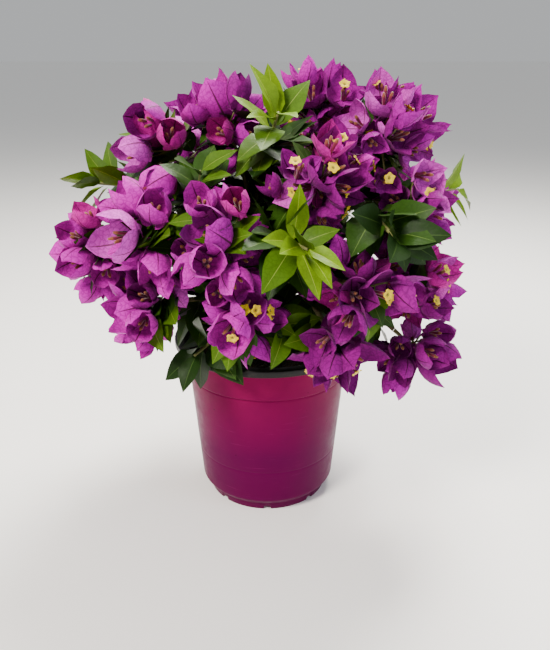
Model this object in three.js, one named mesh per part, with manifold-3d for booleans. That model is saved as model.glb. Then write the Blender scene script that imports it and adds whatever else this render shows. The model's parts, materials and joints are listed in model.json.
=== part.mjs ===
// A potted bougainvillea bush in millimetres, +Z up, its front facing -Y.
// The origin is the centre of the pot's underside.
import * as THREE from "three";
import { mergeVertices } from "three/addons/utils/BufferGeometryUtils.js";
import Module from "manifold-3d";

const wasm = await Module();
wasm.setup();

// Driving dimensions of the pot, a 17 cm nursery pot
const RIM_RADIUS = 85;
const RIM_TOP = 155.5;
const LIP_HEIGHT = 6;
const COLLAR_TOP_RADIUS = 78.5;
const COLLAR_FOOT_RADIUS = 74;
const COLLAR_FOOT = 122;
const WALL_TOP_RADIUS = 72.5;
const WALL_FOOT_RADIUS = 63.4;
const WALL_FOOT = 13.2;
const FOOT_TOP_RADIUS = 57.3;
const FOOT_RADIUS = 56.3;
const FOOT_INNER_RADIUS = 50;
const FOOT_HEIGHT = 7;
const POT_THICKNESS = 1.6;
const FLOOR_TOP = 4;
const FLOOR_UNDERSIDE = 2.2;
const BOSS_RADIUS = 20;
const POT_SIDES = 24;
const NOTCHES = 8;
const NOTCH_WIDTH = 5;
const NOTCH_HEIGHT = 3;

// Driving dimensions of the plant
const GAP = 0.3; // clear space between two pieces that meet
const SOIL_LEVEL = 138;
const SOIL_ROUGHNESS = 1.3;
const TRUNK_TOP = 220;
const TRUNK_RADIUS = 6.4;
const TRUNK_TIP_RADIUS = 4.2;
const ROOT_FLARE = 3.6;
const BOUGH_RADIUS = 2.9;
const BOUGH_TIP_RADIUS = 1.9;
const STEM_RADIUS = 1.9;
const STEM_TIP_RADIUS = 1.3;
const TWIG_RADIUS = 0.8;
const BRACT_LENGTH = 38;
const BRACT_WIDTH = 33;
const BRACT_THICKNESS = 1.1;
const TUBE_LENGTH = 22;
const TUBE_RADIUS = 2;
const LEAF_LENGTH = 50;
const LEAF_WIDTH = 27;
const LEAF_THICKNESS = 1.2;
const OVERREACH = 1.22; // how far past its radius a mass may reach
const SPACE_MARGIN = 0.25; // from a piece to the edge of its mass's space
const CLEARANCE = 0.4; // from a piece to a limb, the pot or another blade
const SLIVER = 0.02; // edges shorter than this are closed up after a join
const CORNER_ROOM = 0.002; // between any two corners of a joined body
const HAIR_SHIFTS = [0, 0.06, -0.09, 0.13];
const GOLDEN = Math.PI * (3 - Math.sqrt(5));
const UP = new THREE.Vector3(0, 0, 1);
const FRONT = new THREE.Vector3(0, -1, 0);

// How limbs run, as shares of a length or of a mass's radius
const BEND_PLACE = 0.4;
const BEND_RISE = 0.2;
const BOUGH_SHORTFALL = 0.55; // from a bough's end to its mass's centre
const BOUGH_MARGIN = 3; // from a bough's end to the edge of its mass's space
const CHILD_SHARE = 0.8; // a bough's radius over its parent's
const THICKENING = 0.002; // added to a bough's radius for each millimetre of reach
const STEM_PAST_CENTRE = { flowers: 0.12, leaves: 0.35 };

// How flower heads are set in a mass. Each range is scaled by a random number and added.
const HEAD_TRIES = 1100;
const HEAD_SPREAD = 1.8; // 2 would reach right round to the bough
const HEAD_DEPTH = 0.9;
const HEAD_PULL = 0.5;
const HEAD_LEAN = 0.8;
const BRACT_OPEN = 28; // degrees from the head's axis
const BRACT_OPEN_RANGE = 15;
const BRACT_LONGEST = 1.1; // shares of the bract length, for the first tries
const BRACT_SHRINK = 0.45; // by the last try
const BRACT_RANGE = 0.14;
const BRACT_ROOT_OUT = 0.3; // shares of the tube radius
const BRACT_ROOT_UP = 0.4;
const TWIG_HIGHEST = 0.96;
const TWIG_RANGE = 0.8;

// How leaves are set in a mass, from the stem's foot to its top
const LEAF_TRIES = 30; // for each leaf, in its own stretch of the stem
const LEAF_LOWEST = 0.15;
const LEAF_SPREAD = 1.45; // radians from the stem at its foot
const LEAF_SPREAD_DROP = 0.95;
const LEAF_SPREAD_RANGE = 0.5;
const LEAF_SHORTEST = 0.88;
const LEAF_RANGE = 0.32;
const LEAF_SHORTENING = 0.35; // from the shoot's foot to its tip
const LEAF_SAG = 0.4;
const LEAF_ON_TWIG = 0.3;
const LEAF_ON_TWIG_RANGE = 0.5;
const LEAF_FACE = 0.8;

// Each mass of foliage: kind, name, turn round the pot's axis in degrees from +X, distance out from the
// axis, height, radius, flower heads, leaves, the limb that carries it and how far along that limb.
const MASSES = [
  ["flowers", "upper_mid_left", -151, 33, 338, 44, 6, 4, "trunk", 0.96],
  ["flowers", "top_right", 18, 48, 348, 43, 6, 4, "upper_mid_left", 0.3],
  ["leaves", "top_shoot", -83, 56, 346, 40, 0, 10, "upper_mid_left", 0.5],
  ["flowers", "upper_left", -169, 82, 323, 44, 5, 5, "trunk", 0.86],
  ["leaves", "left_shoot", -178, 130, 293, 44, 0, 10, "upper_left", 0.35],
  ["flowers", "left_upper", -135, 121, 269, 43, 6, 4, "trunk", 0.72],
  ["flowers", "left_outer", -161, 143, 248, 41, 4, 3, "left_upper", 0.42],
  ["flowers", "left_low", -143, 114, 205, 40, 4, 4, "trunk", 0.38],
  ["flowers", "centre_right", -64, 89, 305, 44, 6, 4, "trunk", 0.82],
  ["flowers", "centre_left", -104, 114, 270, 43, 6, 4, "trunk", 0.64],
  ["leaves", "centre_shoot", -80, 138, 275, 38, 0, 9, "centre_left", 0.5],
  ["flowers", "low_centre", -100, 112, 215, 38, 4, 3, "trunk", 0.46],
  ["leaves", "low_left", -124, 90, 173, 38, 0, 7, "trunk", 0.28],
  ["flowers", "right_top", -14, 98, 329, 49, 6, 4, "trunk", 0.91],
  ["flowers", "right_mid", -24, 119, 283, 43, 6, 4, "right_top", 0.35],
  ["leaves", "right_shoot", -50, 142, 276, 38, 0, 8, "right_mid", 0.4],
  ["flowers", "mid_right", -57, 131, 236, 44, 5, 4, "trunk", 0.58],
  ["flowers", "low_right", -62, 114, 189, 38, 4, 3, "mid_right", 0.3],
  ["flowers", "right_outer", -22, 132, 221, 43, 6, 4, "trunk", 0.5],
  ["flowers", "right_low", -27, 138, 168, 39, 4, 3, "right_outer", 0.35],
  ["flowers", "back_upper_left", 128, 85, 326, 48, 5, 3, "trunk", 0.9],
  ["flowers", "back_upper_right", 59, 98, 315, 48, 5, 3, "trunk", 0.85],
  ["flowers", "back_left", 152, 122, 258, 48, 4, 3, "trunk", 0.66],
  ["flowers", "back_right", 22, 138, 262, 48, 4, 3, "trunk", 0.73],
  ["flowers", "back_centre", 92, 122, 258, 48, 4, 3, "trunk", 0.56],
  ["leaves", "back_low_left", 128, 112, 196, 46, 0, 7, "trunk", 0.42],
  ["flowers", "back_low_right", 57, 118, 196, 46, 4, 2, "trunk", 0.36],
  ["leaves", "inner", 90, 6, 278, 44, 0, 7, "trunk", 1],
];

const COLOURS = { pot: 0xb01872, soil: 0x1d1a17, bark: 0x6b5138, flowers: 0xa62fb4, leaves: 0x3f7a2b };
const ROUGHNESS = { pot: 0.45, soil: 0.95, bark: 0.85, flowers: 0.7, leaves: 0.5 };

// A closed mesh's geometry as a solid that can be joined and cut
function solidOf(geometry) {
  geometry.deleteAttribute("normal");
  geometry.deleteAttribute("uv");
  const merged = mergeVertices(geometry, 1e-4);
  const mesh = new wasm.Mesh({
    numProp: 3,
    vertProperties: merged.getAttribute("position").array,
    triVerts: new Uint32Array(merged.index.array),
  });
  return new wasm.Manifold(mesh);
}

// A named mesh from a solid, in the colour of its kind
function pieceOf(name, kind, solid) {
  const mesh = solid.getMesh();
  const geometry = new THREE.BufferGeometry();
  geometry.setAttribute("position", new THREE.BufferAttribute(new Float32Array(mesh.vertProperties), 3));
  geometry.setIndex(new THREE.BufferAttribute(new Uint32Array(mesh.triVerts), 1));
  geometry.computeVertexNormals();
  const material = new THREE.MeshStandardMaterial({ color: COLOURS[kind], roughness: ROUGHNESS[kind] });
  const piece = new THREE.Mesh(geometry, material);
  piece.name = name;
  return piece;
}

// The largest body of a solid, so that loose scraps are dropped
function largestBody(solid) {
  return solid.decompose().reduce((best, body) => (body.volume() > best.volume() ? body : best));
}

// Whether a body is one piece whose corners all stand clear of each other
function isSound(body) {
  if (body.decompose().length !== 1) return false;
  const mesh = body.getMesh();
  const corners = [];
  for (let i = 0; i < mesh.numVert; i++) corners.push(new THREE.Vector3().fromArray(mesh.vertProperties, 3 * i));
  corners.sort((one, other) => one.x - other.x);
  for (let i = 0; i < corners.length; i++) {
    for (let j = i + 1; j < corners.length && corners[j].x - corners[i].x < CORNER_ROOM; j++) {
      if (corners[i].distanceTo(corners[j]) < CORNER_ROOM) return false;
    }
  }
  return true;
}

// Solids joined one by one on to the first. One that spoils the body is shifted a hair and tried again,
// and one that would still spoil it or stay loose is left out.
function joined(solids) {
  let body = solids[0];
  for (const solid of solids.slice(1)) {
    for (const shift of HAIR_SHIFTS) {
      const next = body.add(solid.translate([shift, -shift, shift])).simplify(SLIVER);
      if (!isSound(next)) continue;
      body = next;
      break;
    }
  }
  return body;
}

// A closed profile of [radius, height] points turned about the Z axis
function turned(profile) {
  const points = profile.map(([radius, height]) => new THREE.Vector2(radius, height));
  return new THREE.LatheGeometry(points, POT_SIDES).rotateX(Math.PI / 2);
}

// Random numbers from 0 to 1 that come out the same on every run
function seeded(seed) {
  let state = seed;
  return () => {
    state = (state + 0x6d2b79f5) | 0;
    let mixed = Math.imul(state ^ (state >>> 15), 1 | state);
    mixed = (mixed + Math.imul(mixed ^ (mixed >>> 7), 61 | mixed)) ^ mixed;
    return ((mixed ^ (mixed >>> 14)) >>> 0) / 4294967296;
  };
}

// The pot: one thin moulded wall with a collar, a lip turned down outside, a foot ring and a flat boss
function potSolid() {
  const lipFoot = RIM_TOP - LIP_HEIGHT;
  const lipUnder = RIM_TOP - POT_THICKNESS;
  const step = 0.6;
  const chamfer = 0.8;
  const profile = [
    [0, 0],
    [BOSS_RADIUS, 0],
    [BOSS_RADIUS + FLOOR_UNDERSIDE, FLOOR_UNDERSIDE],
    [FOOT_INNER_RADIUS - FLOOR_UNDERSIDE, FLOOR_UNDERSIDE],
    [FOOT_INNER_RADIUS, 0],
    [FOOT_RADIUS, 0],
    [FOOT_TOP_RADIUS, FOOT_HEIGHT],
    [WALL_FOOT_RADIUS, WALL_FOOT],
    [WALL_TOP_RADIUS, COLLAR_FOOT],
    [COLLAR_FOOT_RADIUS, COLLAR_FOOT + step],
    [COLLAR_TOP_RADIUS, lipUnder],
    [RIM_RADIUS - POT_THICKNESS, lipUnder],
    [RIM_RADIUS - POT_THICKNESS, lipFoot],
    [RIM_RADIUS, lipFoot],
    [RIM_RADIUS, RIM_TOP - chamfer],
    [RIM_RADIUS - chamfer, RIM_TOP],
    [COLLAR_TOP_RADIUS - POT_THICKNESS + chamfer, RIM_TOP],
    ...potInside().reverse(),
  ];
  const notches = [];
  for (let i = 0; i < NOTCHES; i++) {
    const turn = (i / NOTCHES) * 2 * Math.PI - Math.PI / 2;
    const depth = 2 * (FOOT_TOP_RADIUS - FOOT_INNER_RADIUS);
    const box = new THREE.BoxGeometry(depth, NOTCH_WIDTH, 2 * NOTCH_HEIGHT);
    box.translate((FOOT_INNER_RADIUS + FOOT_TOP_RADIUS) / 2, 0, 0);
    notches.push(solidOf(box.rotateZ(turn)));
  }
  return solidOf(turned(profile)).subtract(wasm.Manifold.union(notches));
}

// The pot's inside from the middle of its floor to its rim, as [radius, height]
function potInside() {
  const wall = POT_THICKNESS;
  return [
    [0, FLOOR_TOP],
    [FOOT_TOP_RADIUS - wall, FLOOR_TOP],
    [FOOT_TOP_RADIUS - wall, FOOT_HEIGHT + wall / 2],
    [WALL_FOOT_RADIUS - wall, WALL_FOOT + wall / 2],
    [WALL_TOP_RADIUS - wall, COLLAR_FOOT],
    [COLLAR_FOOT_RADIUS - wall, COLLAR_FOOT + wall],
    [COLLAR_TOP_RADIUS - wall, RIM_TOP - wall / 2],
  ];
}

// The compost: it fills the pot a gap clear of the wall, with a slightly uneven top, flat at the trunk
function soilSolid() {
  const inside = potInside();
  const collarFoot = inside[5];
  const collarTop = inside[6];
  const rise = (SOIL_LEVEL - collarFoot[1]) / (collarTop[1] - collarFoot[1]);
  const edgeRadius = collarFoot[0] + rise * (collarTop[0] - collarFoot[0]);
  const flatRadius = TRUNK_RADIUS + ROOT_FLARE + 2;
  const waveAcross = 0.09;
  const waveBack = 0.11;
  const waveBoth = 0.05;
  const profile = inside.slice(1, 6).map(([radius, height]) => [radius - GAP, height + GAP]);
  profile.unshift([0, FLOOR_TOP + GAP]);
  profile.push([edgeRadius - 2 * GAP, SOIL_LEVEL]);
  for (const share of [0.75, 0.4]) profile.push([edgeRadius * share, SOIL_LEVEL]);
  profile.push([flatRadius, SOIL_LEVEL], [0, SOIL_LEVEL]);
  const shape = turned(profile);
  const place = shape.getAttribute("position");
  for (let i = 0; i < place.count; i++) {
    const x = place.getX(i);
    const y = place.getY(i);
    const onTop = place.getZ(i) > SOIL_LEVEL - GAP && Math.hypot(x, y) > flatRadius + 1;
    const lump = Math.sin(x * waveAcross + 1) + Math.cos(y * waveBack + x * waveBoth);
    if (onTop) place.setZ(i, SOIL_LEVEL - SOIL_ROUGHNESS + (lump * SOIL_ROUGHNESS) / 2);
  }
  return solidOf(shape);
}

// A limb is a curve with a radius at every point along it. Its solid has the given sides and steps.
function limbSolid(limb, sides, steps, swell = 0) {
  const shape = new THREE.CylinderGeometry(1, 1, 1, sides, steps);
  const place = shape.getAttribute("position");
  const start = limb.curve.getTangent(0);
  const across = new THREE.Vector3().crossVectors(start, limb.curve.getTangent(1));
  if (across.length() < 1e-3) across.crossVectors(start, Math.abs(start.z) < 0.9 ? UP : FRONT);
  across.normalize();
  if (limb.facing) {
    const ahead = new THREE.Vector3().crossVectors(across, limb.facing).dot(limb.curve.getTangent(0.5));
    shape.rotateY(Math.atan2(ahead, across.dot(limb.facing)));
  }
  for (let i = 0; i < place.count; i++) {
    const along = place.getY(i) + 0.5;
    const tangent = limb.curve.getTangent(along);
    const normal = new THREE.Vector3().crossVectors(tangent, across);
    const radius = limb.radiusAt(along) + swell;
    const point = limb.curve.getPoint(along);
    point.addScaledVector(normal, place.getX(i) * radius);
    point.addScaledVector(across, place.getZ(i) * radius);
    place.setXYZ(i, point.x, point.y, point.z);
  }
  return solidOf(shape);
}

// The trunk leans a little to the right and widens into its root flare at the soil
function trunkLimb() {
  const curve = new THREE.QuadraticBezierCurve3(
    new THREE.Vector3(-3, 0, SOIL_LEVEL + GAP),
    new THREE.Vector3(-3, 0, (SOIL_LEVEL + TRUNK_TOP) / 2),
    new THREE.Vector3(2, 2, TRUNK_TOP),
  );
  const radiusAt = (along) =>
    TRUNK_RADIUS + (TRUNK_TIP_RADIUS - TRUNK_RADIUS) * along + ROOT_FLARE * Math.exp(-14 * along);
  return { curve, radiusAt, sides: 10, steps: 7 };
}

// A bough rises from its parent limb, arches over and ends where it enters its mass
function boughLimb(parent, along, mass) {
  const from = parent.curve.getPoint(along);
  const reach = mass.centre.distanceTo(from);
  const bend = from.clone().lerp(mass.centre, BEND_PLACE);
  bend.z += BEND_RISE * Math.hypot(mass.centre.x - from.x, mass.centre.y - from.y);
  mass.axis.copy(mass.centre).sub(bend).normalize();
  let back = BOUGH_SHORTFALL * mass.radius;
  const end = new THREE.Vector3();
  do {
    end.copy(mass.centre).addScaledVector(mass.axis, -back);
    back -= 1;
  } while (!keepsToSpace(end, mass, BOUGH_MARGIN) && back > 0);
  const startRadius = Math.min(BOUGH_RADIUS, CHILD_SHARE * parent.radiusAt(along)) + reach * THICKENING;
  return {
    curve: new THREE.QuadraticBezierCurve3(from, bend, end),
    radiusAt: (share) => startRadius + (BOUGH_TIP_RADIUS - startRadius) * share,
    sides: 4,
    steps: 3,
  };
}

// A mass keeps to the points that lie nearer to it than to any other mass, within its reach
function keepsToSpace(point, mass, margin) {
  const own = point.distanceToSquared(mass.centre) - mass.radius ** 2;
  if (point.distanceTo(mass.centre) > mass.radius * OVERREACH) return false;
  return masses.every((other) => {
    if (other === mass) return true;
    const lead = point.distanceToSquared(other.centre) - other.radius ** 2 - own;
    return lead > 2 * margin * other.centre.distanceTo(mass.centre);
  });
}

// A piece stays only if all its corners keep to the mass's space and it stands clear of what is there
function fits(solid, mass, others) {
  const mesh = solid.getMesh();
  for (let i = 0; i < mesh.numVert; i++) {
    const corner = new THREE.Vector3().fromArray(mesh.vertProperties, 3 * i);
    if (!keepsToSpace(corner, mass, SPACE_MARGIN)) return false;
  }
  return others.every((other) => solid.minGap(other, 2 * CLEARANCE) > CLEARANCE);
}

// A frame for a blade: X along it, Z out of its upper face
function bladeFrame(root, along, face) {
  const side = new THREE.Vector3().crossVectors(face, along).normalize();
  const upper = new THREE.Vector3().crossVectors(along, side);
  return new THREE.Matrix4().makeBasis(along, side, upper).setPosition(root);
}

// A bract at a share of its length and of its half width: broad near the root, pointed, and cupped
function bractPoint(length, share, side) {
  const outline = 1.9 * Math.sqrt(share) * (1 - share) ** 0.62;
  const belly = -0.13 * length * 4 * share * (1 - share);
  const cup = 0.07 * length * side * side * Math.min(1, outline);
  const halfWidth = (BRACT_WIDTH / BRACT_LENGTH) * length * 0.5;
  return new THREE.Vector3(length * share, side * halfWidth * Math.min(1, outline), belly + cup);
}

// A leaf at a share of its length and of its half width: folded a little up its midrib, tip drooping
function leafPoint(length, share, side) {
  const outline = Math.sin(Math.PI * share ** 0.78);
  const halfWidth = (LEAF_WIDTH / LEAF_LENGTH) * length * 0.5;
  const fold = 0.28 * Math.abs(side) * outline * halfWidth;
  const droop = -0.22 * length * share * share;
  return new THREE.Vector3(length * share, side * halfWidth * outline, fold + droop);
}

// A bract's solid: six outline corners round a thicker middle, 12 faces
function bractSolid(length, frame) {
  const shape = new THREE.SphereGeometry(1, 6, 2);
  const place = shape.getAttribute("position");
  for (let i = 0; i < place.count; i++) {
    const across = place.getX(i);
    const share = Math.abs(across) > 0.9 ? (Math.round(across) + 1) / 2 : 0.5 + 0.4 * across;
    const side = -Math.round(place.getZ(i));
    const point = bractPoint(length, share, side);
    point.z += (Math.round(place.getY(i)) * BRACT_THICKNESS) / 2;
    place.setXYZ(i, point.x, point.y, point.z);
  }
  return solidOf(shape.applyMatrix4(frame));
}

// A leaf's solid: root, tip and two sides round a thicker middle, 8 faces
function leafSolid(length, frame) {
  const shape = new THREE.OctahedronGeometry(1);
  const place = shape.getAttribute("position");
  for (let i = 0; i < place.count; i++) {
    const across = Math.round(place.getX(i));
    const share = across === 0 ? 0.42 : (across + 1) / 2;
    const point = leafPoint(length, share, Math.round(place.getY(i)));
    point.z += (Math.round(place.getZ(i)) * LEAF_THICKNESS) / 2;
    place.setXYZ(i, point.x, point.y, point.z);
  }
  return solidOf(shape.applyMatrix4(frame));
}

// A head's twig, which runs on between its bracts as the bundle of flower tubes
function twigSolid(from, root, axis, facing) {
  const end = root.clone().addScaledVector(axis, TUBE_LENGTH);
  const twig = {
    curve: new THREE.CatmullRomCurve3([from, root, end]),
    radiusAt: (along) => TWIG_RADIUS + (TUBE_RADIUS - TWIG_RADIUS) * Math.sin(Math.PI * along),
    facing,
  };
  return limbSolid(twig, 3, 2);
}

// A direction at an angle from an axis, turned round it
function tilted(axis, angle, turn) {
  const side = new THREE.Vector3().crossVectors(axis, Math.abs(axis.z) < 0.9 ? UP : FRONT).normalize();
  const other = new THREE.Vector3().crossVectors(axis, side);
  const lean = side.multiplyScalar(Math.cos(turn)).addScaledVector(other, Math.sin(turn));
  return axis.clone().multiplyScalar(Math.cos(angle)).addScaledVector(lean, Math.sin(angle));
}

// Up to the wanted number of flower heads, tried outwards from the mass's axis in a golden spiral
function growHeads(mass, random, solids) {
  const heads = [];
  for (let i = 0; i < HEAD_TRIES && heads.length < mass.heads; i++) {
    const spread = Math.acos(1 - (HEAD_SPREAD * i) / HEAD_TRIES);
    const outward = tilted(mass.axis, spread, i * GOLDEN);
    const depth = HEAD_DEPTH * random();
    const lean = new THREE.Vector3(random() - 0.5, random() - 0.5, random() - 0.5);
    const roll = random() * 2 * Math.PI;
    const open = THREE.MathUtils.degToRad(BRACT_OPEN + BRACT_OPEN_RANGE * random());
    const share = BRACT_LONGEST - (BRACT_SHRINK * i) / HEAD_TRIES - BRACT_RANGE * random();
    const root = mass.centre.clone().addScaledVector(outward, depth * mass.radius);
    const axis = outward.clone().addScaledVector(mass.axis, HEAD_PULL).addScaledVector(lean, HEAD_LEAN);
    axis.normalize();
    const frames = [0, 1, 2].map((side) => {
      const turn = roll + (side * 2 * Math.PI) / 3;
      const outwards = tilted(axis, Math.PI / 2, turn);
      const node = root.clone().addScaledVector(outwards, BRACT_ROOT_OUT * TUBE_RADIUS);
      node.addScaledVector(axis, BRACT_ROOT_UP * TUBE_RADIUS);
      return bladeFrame(node, tilted(axis, open, turn), axis);
    });
    const bracts = frames.map((frame) => bractSolid(BRACT_LENGTH * share, frame));
    const others = [...hard, ...mass.blades, ...mass.twigs];
    if (!bracts.every((bract) => fits(bract, mass, others))) continue;
    const from = mass.stem.getPoint(TWIG_HIGHEST - (TWIG_RANGE * heads.length) / mass.heads);
    const twig = twigSolid(from, root, axis, tilted(axis, Math.PI / 2, roll + Math.PI / 3));
    if (!fits(twig, mass, [...hard, ...mass.blades])) continue;
    solids.push(twig, ...bracts);
    mass.twigs.push(twig);
    mass.blades.push(...bracts);
    heads.push({ from, root });
  }
  return heads;
}

// Up to the wanted number of leaves, set spirally up the stem and on the twigs of the heads
function growLeaves(mass, random, solids, heads) {
  const tries = LEAF_TRIES * mass.leaves;
  let stretch = 0;
  for (let i = 0; i < tries; i++) {
    const share = LEAF_LOWEST + ((1 - LEAF_LOWEST) * (i + 0.5)) / tries;
    const spread = LEAF_SPREAD - LEAF_SPREAD_DROP * share + LEAF_SPREAD_RANGE * (random() - 0.5);
    const length = LEAF_LENGTH * (LEAF_SHORTEST + LEAF_RANGE * random()) * (1 - LEAF_SHORTENING * share);
    const pick = random();
    const turn = i * GOLDEN + random();
    if (i < stretch * LEAF_TRIES) continue;
    const along = tilted(mass.axis, spread, turn);
    along.z -= LEAF_SAG * (1 - share);
    along.normalize();
    const head = heads[Math.floor(pick * 2 * heads.length)];
    const place = LEAF_ON_TWIG + LEAF_ON_TWIG_RANGE * share;
    const root = head ? head.from.clone().lerp(head.root, place) : mass.stem.getPoint(share);
    const face = mass.axis.clone().addScaledVector(UP, LEAF_FACE);
    const frame = bladeFrame(root, along, face);
    const leaf = leafSolid(length, frame);
    if (!fits(leaf, mass, [...hard, ...mass.blades])) continue;
    solids.push(leaf);
    mass.blades.push(leaf);
    stretch = Math.floor(i / LEAF_TRIES) + 1;
  }
}

// One mass of foliage: a stem, twigs with their heads, and leaves, all joined into one body
function massSolid(mass) {
  const random = seeded(mass.seed);
  const radiusAt = (along) => STEM_RADIUS + (STEM_TIP_RADIUS - STEM_RADIUS) * along;
  const solids = [limbSolid({ curve: mass.stem, radiusAt }, 5, 1)];
  const heads = growHeads(mass, random, solids);
  growLeaves(mass, random, solids, heads);
  return joined(solids);
}

const masses = MASSES.map(([kind, name, turn, out, up, radius, heads, leaves, parent, along], index) => {
  const angle = THREE.MathUtils.degToRad(turn);
  const centre = new THREE.Vector3(out * Math.cos(angle), out * Math.sin(angle), up);
  const axis = new THREE.Vector3();
  return { kind, name, centre, axis, radius, heads, leaves, parent, along, seed: index + 1, blades: [], twigs: [] };
});

// The limbs first, because the foliage keeps clear of all of them
const limbs = { trunk: trunkLimb() };
for (const mass of masses) {
  const parent = limbs[mass.parent];
  const bough = boughLimb(parent, mass.along, mass);
  const end = bough.curve.getPoint(1);
  const foot = end.clone().addScaledVector(mass.axis, GAP);
  const top = mass.centre.clone().addScaledVector(mass.axis, STEM_PAST_CENTRE[mass.kind] * mass.radius);
  mass.stem = new THREE.LineCurve3(foot, top);
  limbs[mass.name] = bough;
}
const pot = potSolid();
const wood = Object.values(limbs).map((limb) => limbSolid(limb, limb.sides, limb.steps));
const hard = [pot, ...wood];

const plant = new THREE.Group();
plant.add(pieceOf("pot", "pot", pot));
plant.add(pieceOf("soil", "soil", soilSolid()));
plant.add(pieceOf("trunk", "bark", limbSolid(limbs.trunk, limbs.trunk.sides, limbs.trunk.steps)));
const around = [limbSolid(limbs.trunk, limbs.trunk.sides, limbs.trunk.steps, GAP)];
for (const mass of masses) {
  const bough = limbs[mass.name];
  const cut = limbSolid(bough, bough.sides, bough.steps).subtract(wasm.Manifold.union(around));
  around.push(limbSolid(bough, bough.sides, bough.steps, GAP));
  plant.add(pieceOf("bough_" + mass.name, "bark", largestBody(cut)));
  plant.add(pieceOf(mass.kind + "_" + mass.name, mass.kind, massSolid(mass)));
}

export default plant;
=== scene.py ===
# A bougainvillea bush in flower, in the thin magenta pot that it was sold in.
# Lengths are in millimetres until a mesh is finished. +Z is up and the front faces -Y.
import json
import math

import bmesh
import bpy
import numpy as np
from mathutils import Matrix, Vector, kdtree, noise

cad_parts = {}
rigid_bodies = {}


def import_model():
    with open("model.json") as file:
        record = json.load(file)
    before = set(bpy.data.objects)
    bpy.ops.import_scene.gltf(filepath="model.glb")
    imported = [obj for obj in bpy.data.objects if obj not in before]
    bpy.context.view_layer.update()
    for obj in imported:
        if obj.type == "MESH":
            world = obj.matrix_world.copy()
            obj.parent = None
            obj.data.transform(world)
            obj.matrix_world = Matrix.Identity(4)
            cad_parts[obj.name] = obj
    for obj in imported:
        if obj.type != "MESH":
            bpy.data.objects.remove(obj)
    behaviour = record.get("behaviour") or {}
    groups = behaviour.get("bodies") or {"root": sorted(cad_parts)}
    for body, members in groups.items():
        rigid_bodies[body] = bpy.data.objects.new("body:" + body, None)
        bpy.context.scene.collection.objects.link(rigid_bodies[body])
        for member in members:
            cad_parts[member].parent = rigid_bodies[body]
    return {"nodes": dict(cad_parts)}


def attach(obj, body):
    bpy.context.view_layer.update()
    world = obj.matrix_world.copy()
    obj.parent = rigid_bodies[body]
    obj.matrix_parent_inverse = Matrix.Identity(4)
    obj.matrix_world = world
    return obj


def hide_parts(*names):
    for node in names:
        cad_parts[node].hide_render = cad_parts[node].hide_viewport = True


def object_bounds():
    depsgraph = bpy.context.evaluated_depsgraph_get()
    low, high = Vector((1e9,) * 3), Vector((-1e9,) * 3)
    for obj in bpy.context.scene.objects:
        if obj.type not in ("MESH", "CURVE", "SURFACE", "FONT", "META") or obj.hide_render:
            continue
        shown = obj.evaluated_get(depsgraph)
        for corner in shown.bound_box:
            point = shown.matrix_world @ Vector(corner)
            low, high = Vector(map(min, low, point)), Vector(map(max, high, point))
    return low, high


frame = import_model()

cad_box = [list(corner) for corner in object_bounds()]
MM = 0.001

# Camera
# The photograph looks down at the bush from about 0.6 m in front of it, in an upright frame. The lens,
# height and tilt come from the ellipses of the pot's rim, collar and foot.
CAMERA_PLACE = (7.4, -591, 398)
CAMERA_DOWN = 21.7
SENSOR = 36
FOCAL_PIXELS = 688
FRAME_HEIGHT = 650
camera_lens = bpy.data.cameras.new("camera")
camera_lens.sensor_width = SENSOR
camera_lens.lens = FOCAL_PIXELS * SENSOR / FRAME_HEIGHT
camera = bpy.data.objects.new("camera", camera_lens)
camera.location = Vector(CAMERA_PLACE) * MM
camera.rotation_euler = (math.radians(90 - CAMERA_DOWN), 0, 0)
bpy.context.scene.collection.objects.link(camera)
bpy.context.scene.camera = camera

# Pot
# A thin-walled 17 cm nursery pot of polypropylene, moulded in two layers: magenta outside, black inside
# and over the rim. It has a collar, a lip turned down outside, and a foot ring with drain notches.
RIM_RADIUS = 85
RIM_TOP = 155.5
LIP_HEIGHT = 6
WALL = 1.6
COLLAR_TOP_RADIUS = 78.5
COLLAR_FOOT_RADIUS = 74
COLLAR_FOOT = 122
WALL_TOP_RADIUS = 72.4
WALL_FOOT_RADIUS = 63.4
WALL_FOOT = 13.2
MOULD_LINE_RADIUS = 65.8
MOULD_LINE = 45.2
FOOT_TOP_RADIUS = 57.3
FOOT_HEIGHT = 7
FOOT_RADIUS = 56.3
FOOT_INNER_RADIUS = 50
FLOOR_TOP = 4
FLOOR_UNDERSIDE = 2.2
BOSS_RADIUS = 20
NOTCHES = 8
NOTCH_WIDTH = 5
NOTCH_HEIGHT = 3
POT_STEPS = 288
LIP_FOOT = RIM_TOP - LIP_HEIGHT
LIP_INNER_RADIUS = RIM_RADIUS - WALL
RIM_INNER_RADIUS = COLLAR_TOP_RADIUS - WALL
COLLAR_EDGE = COLLAR_FOOT + WALL / 2
# The skin outside as (radius, height). A second point near each corner keeps the shading of the long
# faces flat.
UNDERSIDE_PROFILE = [
    (0, 0), (BOSS_RADIUS, 0), (BOSS_RADIUS + FLOOR_UNDERSIDE, FLOOR_UNDERSIDE),
    (FOOT_INNER_RADIUS - FLOOR_UNDERSIDE, FLOOR_UNDERSIDE), (FOOT_INNER_RADIUS, 0),
]
WALL_PROFILE = [
    (FOOT_RADIUS, 0), (FOOT_TOP_RADIUS, FOOT_HEIGHT), (WALL_FOOT_RADIUS, WALL_FOOT), (63.6, 16),
    (65.9, 43.2), (66, 44.6), (MOULD_LINE_RADIUS, MOULD_LINE), (66.1, 45.8), (66.3, 47.2), (72.3, 119.2),
    (WALL_TOP_RADIUS, 120.6), (71.8, 121.6), (COLLAR_FOOT_RADIUS, COLLAR_EDGE), (74.2, 124.2),
    (78.3, 152.5), (COLLAR_TOP_RADIUS, RIM_TOP - WALL),
]
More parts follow.
